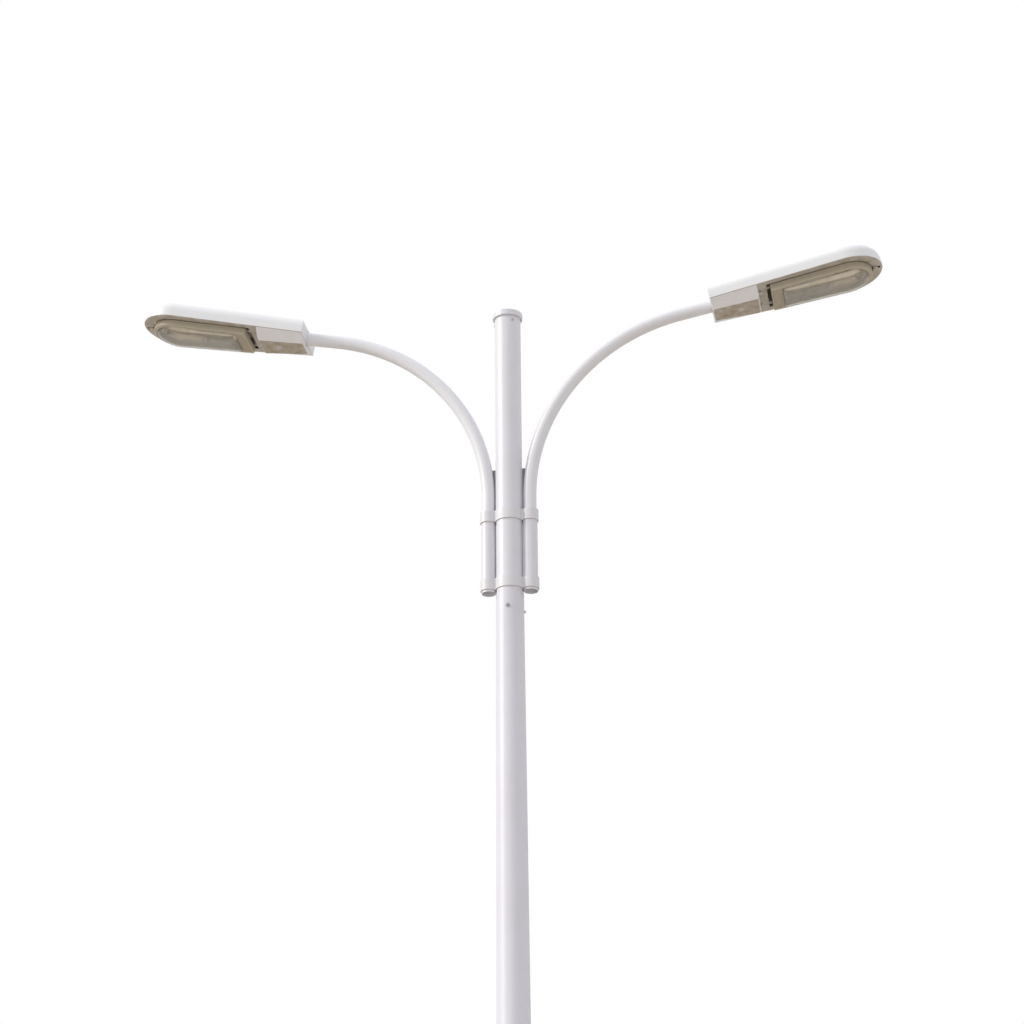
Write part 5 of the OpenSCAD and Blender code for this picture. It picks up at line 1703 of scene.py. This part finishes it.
    def cover_block(self, skin: float, top: float, edge: float) -> Mesh:
        """The cover's outer form drawn in by a skin, as a closed block.

        Args:
            skin: How far it is drawn in.
            top: Height of its flat top.
            edge: Radius of its lower edges.

        Returns:
            The mesh.
        """
        x0, x1, inset = 1 * MM + skin, self.cover_length - skin, 4 * MM + skin
        floor = skin - self.cover_front_depth
        sections = [(x0, self.plan.half(x0) - inset, top), (x1, self.plan.half(x1) - inset, top),
                    (x1, self.cover_brow_half - skin, floor + self.cover_brow),
                    (x1 - self.cover_brow, self.cover_front_half - skin, floor),
                    (x0 + 3 * MM, self.cover_rear_half - skin, skin - self.cover_rear_depth)]
        bm = bmesh.new()
        left = [bm.verts.new((x, y, z)) for x, y, z in sections]
        right = [bm.verts.new((x, -y, z)) for x, y, z in sections]
        bm.faces.new(left)
        bm.faces.new(right[::-1])
        for k in range(5):
            bm.faces.new((left[k], left[(k + 1) % 5], right[(k + 1) % 5], right[k]))
        outward(bm)
        low = [e for e in bm.edges if min(v.co.z for v in e.verts) < top - 1 * MM]
        bmesh.ops.bevel(bm, geom=low, offset=edge, segments=4, affect="EDGES", profile=0.5,
                        clamp_overlap=True)
        return outward(bm)

    def cover_shell(self) -> Piece:
        """A tapered trough with soft edges, open above, notched for the arm."""
        top = -0.5 * MM
        shell = finished("trough", self.cover_block(0.0, top, 3.6 * MM), COVER_PAINT)
        notch = bar_along_x(self.arm_r + 2 * MM, -10 * MM, 14 * MM, self.seat.spigot_up)
        well = loft([circle(14.5 * MM, 56, z) for z in (-60 * MM, -8 * MM)])
        well.transform(Matrix.Translation((self.screw_x, 0, 0)))
        cut(shell, [notch, well, self.cover_block(self.cover_skin, top + 3 * MM, 1.6 * MM)])
        self.move(shell)
        return shell

    def build_cover_screw(self, floor: float) -> None:
        """The captive quarter-turn screw: a slotted head in the dish and its shank."""
        low, seat = floor + 2.9 * MM, floor + 7.9 * MM
        pin = 7.5 * MM
        head = turned([(0, low), (7.4 * MM, low), (8.6 * MM, low + 0.6 * MM), (9 * MM, low + 1.4 * MM),
                       (9 * MM, seat - 0.5 * MM), (8.6 * MM, seat), (4.9 * MM, seat),
                       (4.9 * MM, pin + 1.6 * MM),
                       (3.6 * MM, pin + 3 * MM), (0, pin + 3 * MM)], 48)
        screw = finished("screw", head, STEEL)
        cut(screw, [rounded_box((14 * MM, 2.2 * MM, 4 * MM), (0, 0, low), 0.3 * MM)])
        key = turned([(0, -10 * MM), (1.2 * MM, -10 * MM), (1.5 * MM, -9.6 * MM), (1.5 * MM, 9.6 * MM),
                      (1.2 * MM, 10 * MM), (0, 10 * MM)], 24)
        bar = finished("bar", key, STEEL, along_x(pin))
        whole = joined("gear_cover_screw_" + self.tag + "_finished", [screw, bar])
        whole.data.transform(Matrix.Translation((self.screw_x, 0, 0)))
        self.move(whole)
        self.fit(whole, Body.COVER_SCREW, "stainless_fasteners", "gear_cover_screw")


def rounded_corners(corners: Sequence[Point2], radius: float, steps: int = 5) -> list[Point2]:
    """A convex outline with each corner rounded."""
    out: list[Point2] = []
    count = len(corners)
    for k in range(count):
        before, here, after = (Vector(corners[(k + d) % count]) for d in (-1, 0, 1))
        a, b = (before - here).normalized(), (after - here).normalized()
        half = a.angle(b) / 2
        middle = here + (a + b).normalized() * (radius / math.sin(half))
        start = here + a * (radius / math.tan(half)) - middle
        end = here + b * (radius / math.tan(half)) - middle
        for s in range(steps + 1):
            spoke = start.lerp(end, s / steps).normalized() * radius
            out.append(tuple(middle + spoke))
    return out


def build_luminaire_fasteners() -> None:
    """The clamp bolts and the hinge pins of both luminaires."""
    eased_copy("saddle_bolts", STEEL, "stainless_fasteners", Body.COLUMN.on(), 0.6 * MM)
    eased_copy("luminaire_hinge_pins", STEEL, "stainless_fasteners", Body.COLUMN.on(), 0.5 * MM)


# ---------------------------------------------------------------- stage


@dataclass
class Studio:
    """Plain pale floor, soft light and the camera."""

    aim: Vector = Vector((0.0, 0.0, 7.0))
    distance: float = 13.0
    azimuth: float = 9.0
    elevation: float = -24.0
    lens: float = 101.3
    shift: float = 0.0027
    roll: float = -0.5
    backdrop: float = 1.0
    horizon: float = 0.42
    zenith: float = 1.22
    sun: float = 1.85
    sun_width: float = 25.0
    sun_colour: RGB = (1.0, 0.975, 0.91)
    sun_towards: RGB = (1.0, 0.42, -0.6)
    sky_tint: RGB = (0.965, 0.965, 1.0)
    floor_radius: float = 60.0

    def build(self) -> None:
        """Makes the floor, the light and the camera."""
        self.build_floor()
        self.build_light()
        self.build_camera()

    def build_floor(self) -> None:
        """A wide pale floor under the light."""
        bm = bmesh.new()
        bmesh.ops.create_circle(bm, cap_ends=True, segments=96, radius=self.floor_radius)
        made = finished("studio_floor", bm, Moulded("floor_matt", (0.62, 0.585, 0.53), 0.85,
                                                    speck=(0.58, 0.55, 0.5), speck_scale=3.0, relief=0.002))

    def build_light(self) -> None:
        """An even pale sky and one soft key from the left."""
        world = bpy.data.worlds.new("studio_sky")
        world.use_nodes = True
        bench = NodeBench(world.node_tree)
        seen = bench.add("ShaderNodeLightPath").outputs["Is Camera Ray"]
        up = bench.add("ShaderNodeSeparateXYZ", {0: bench.add("ShaderNodeTexCoord").outputs["Generated"]})
        sky = bench.ranged(up.outputs["Z"], 0.0, 1.0, self.horizon, self.zenith)
        shown = bench.add("ShaderNodeMix", {0: seen, 2: sky, 3: self.backdrop})
        background = world.node_tree.nodes["Background"]
        bench.feed(background, "Color", bench.blend(seen, self.sky_tint, (1.0, 1.0, 1.0)))
        bench.feed(background, "Strength", shown.outputs[0])
        bpy.context.scene.world = world
        key = bpy.data.lights.new("key", "SUN")
        key.energy = self.sun
        key.angle = math.radians(self.sun_width)
        key.color = self.sun_colour
        lamp = bpy.data.objects.new("key", key)
        lamp.rotation_euler = Vector(self.sun_towards).to_track_quat("-Z", "Y").to_euler()
        bpy.context.scene.collection.objects.link(lamp)

    def build_camera(self) -> None:
        """The camera: it stands on the ground and looks up."""
        a, e = math.radians(self.azimuth), math.radians(self.elevation)
        back = Vector((math.sin(a) * math.cos(e), -math.cos(a) * math.cos(e), math.sin(e)))
        data = bpy.data.cameras.new("camera")
        data.lens = self.lens
        data.sensor_width = 36.0
        data.shift_x = self.shift
        data.clip_end = 300.0
        camera = bpy.data.objects.new("camera", data)
        camera.location = self.aim + back * self.distance
        look = (-back).to_track_quat("-Z", "Y").to_matrix().to_4x4()
        camera.rotation_euler = (look @ Matrix.Rotation(math.radians(self.roll), 4, "Z")).to_euler()
        bpy.context.scene.collection.objects.link(camera)
        bpy.context.scene.camera = camera
        bpy.context.scene.view_settings.view_transform = "Standard"


def main() -> None:
    """Builds the light and its studio in order."""
    logging.basicConfig(level=logging.INFO, format="%(message)s")
    Studio().build()
    repeats = Repeats()
    seat = Seat()
    Column().build(repeats)
    AccessDoor().build(repeats)
    Head().build(repeats)
    Bracket().build(repeats)
    for side in Side:
        Arm(side, seat).build()
        Luminaire(side, seat, repeats).build()
    build_luminaire_fasteners()


if __name__ == "__main__":
    main()
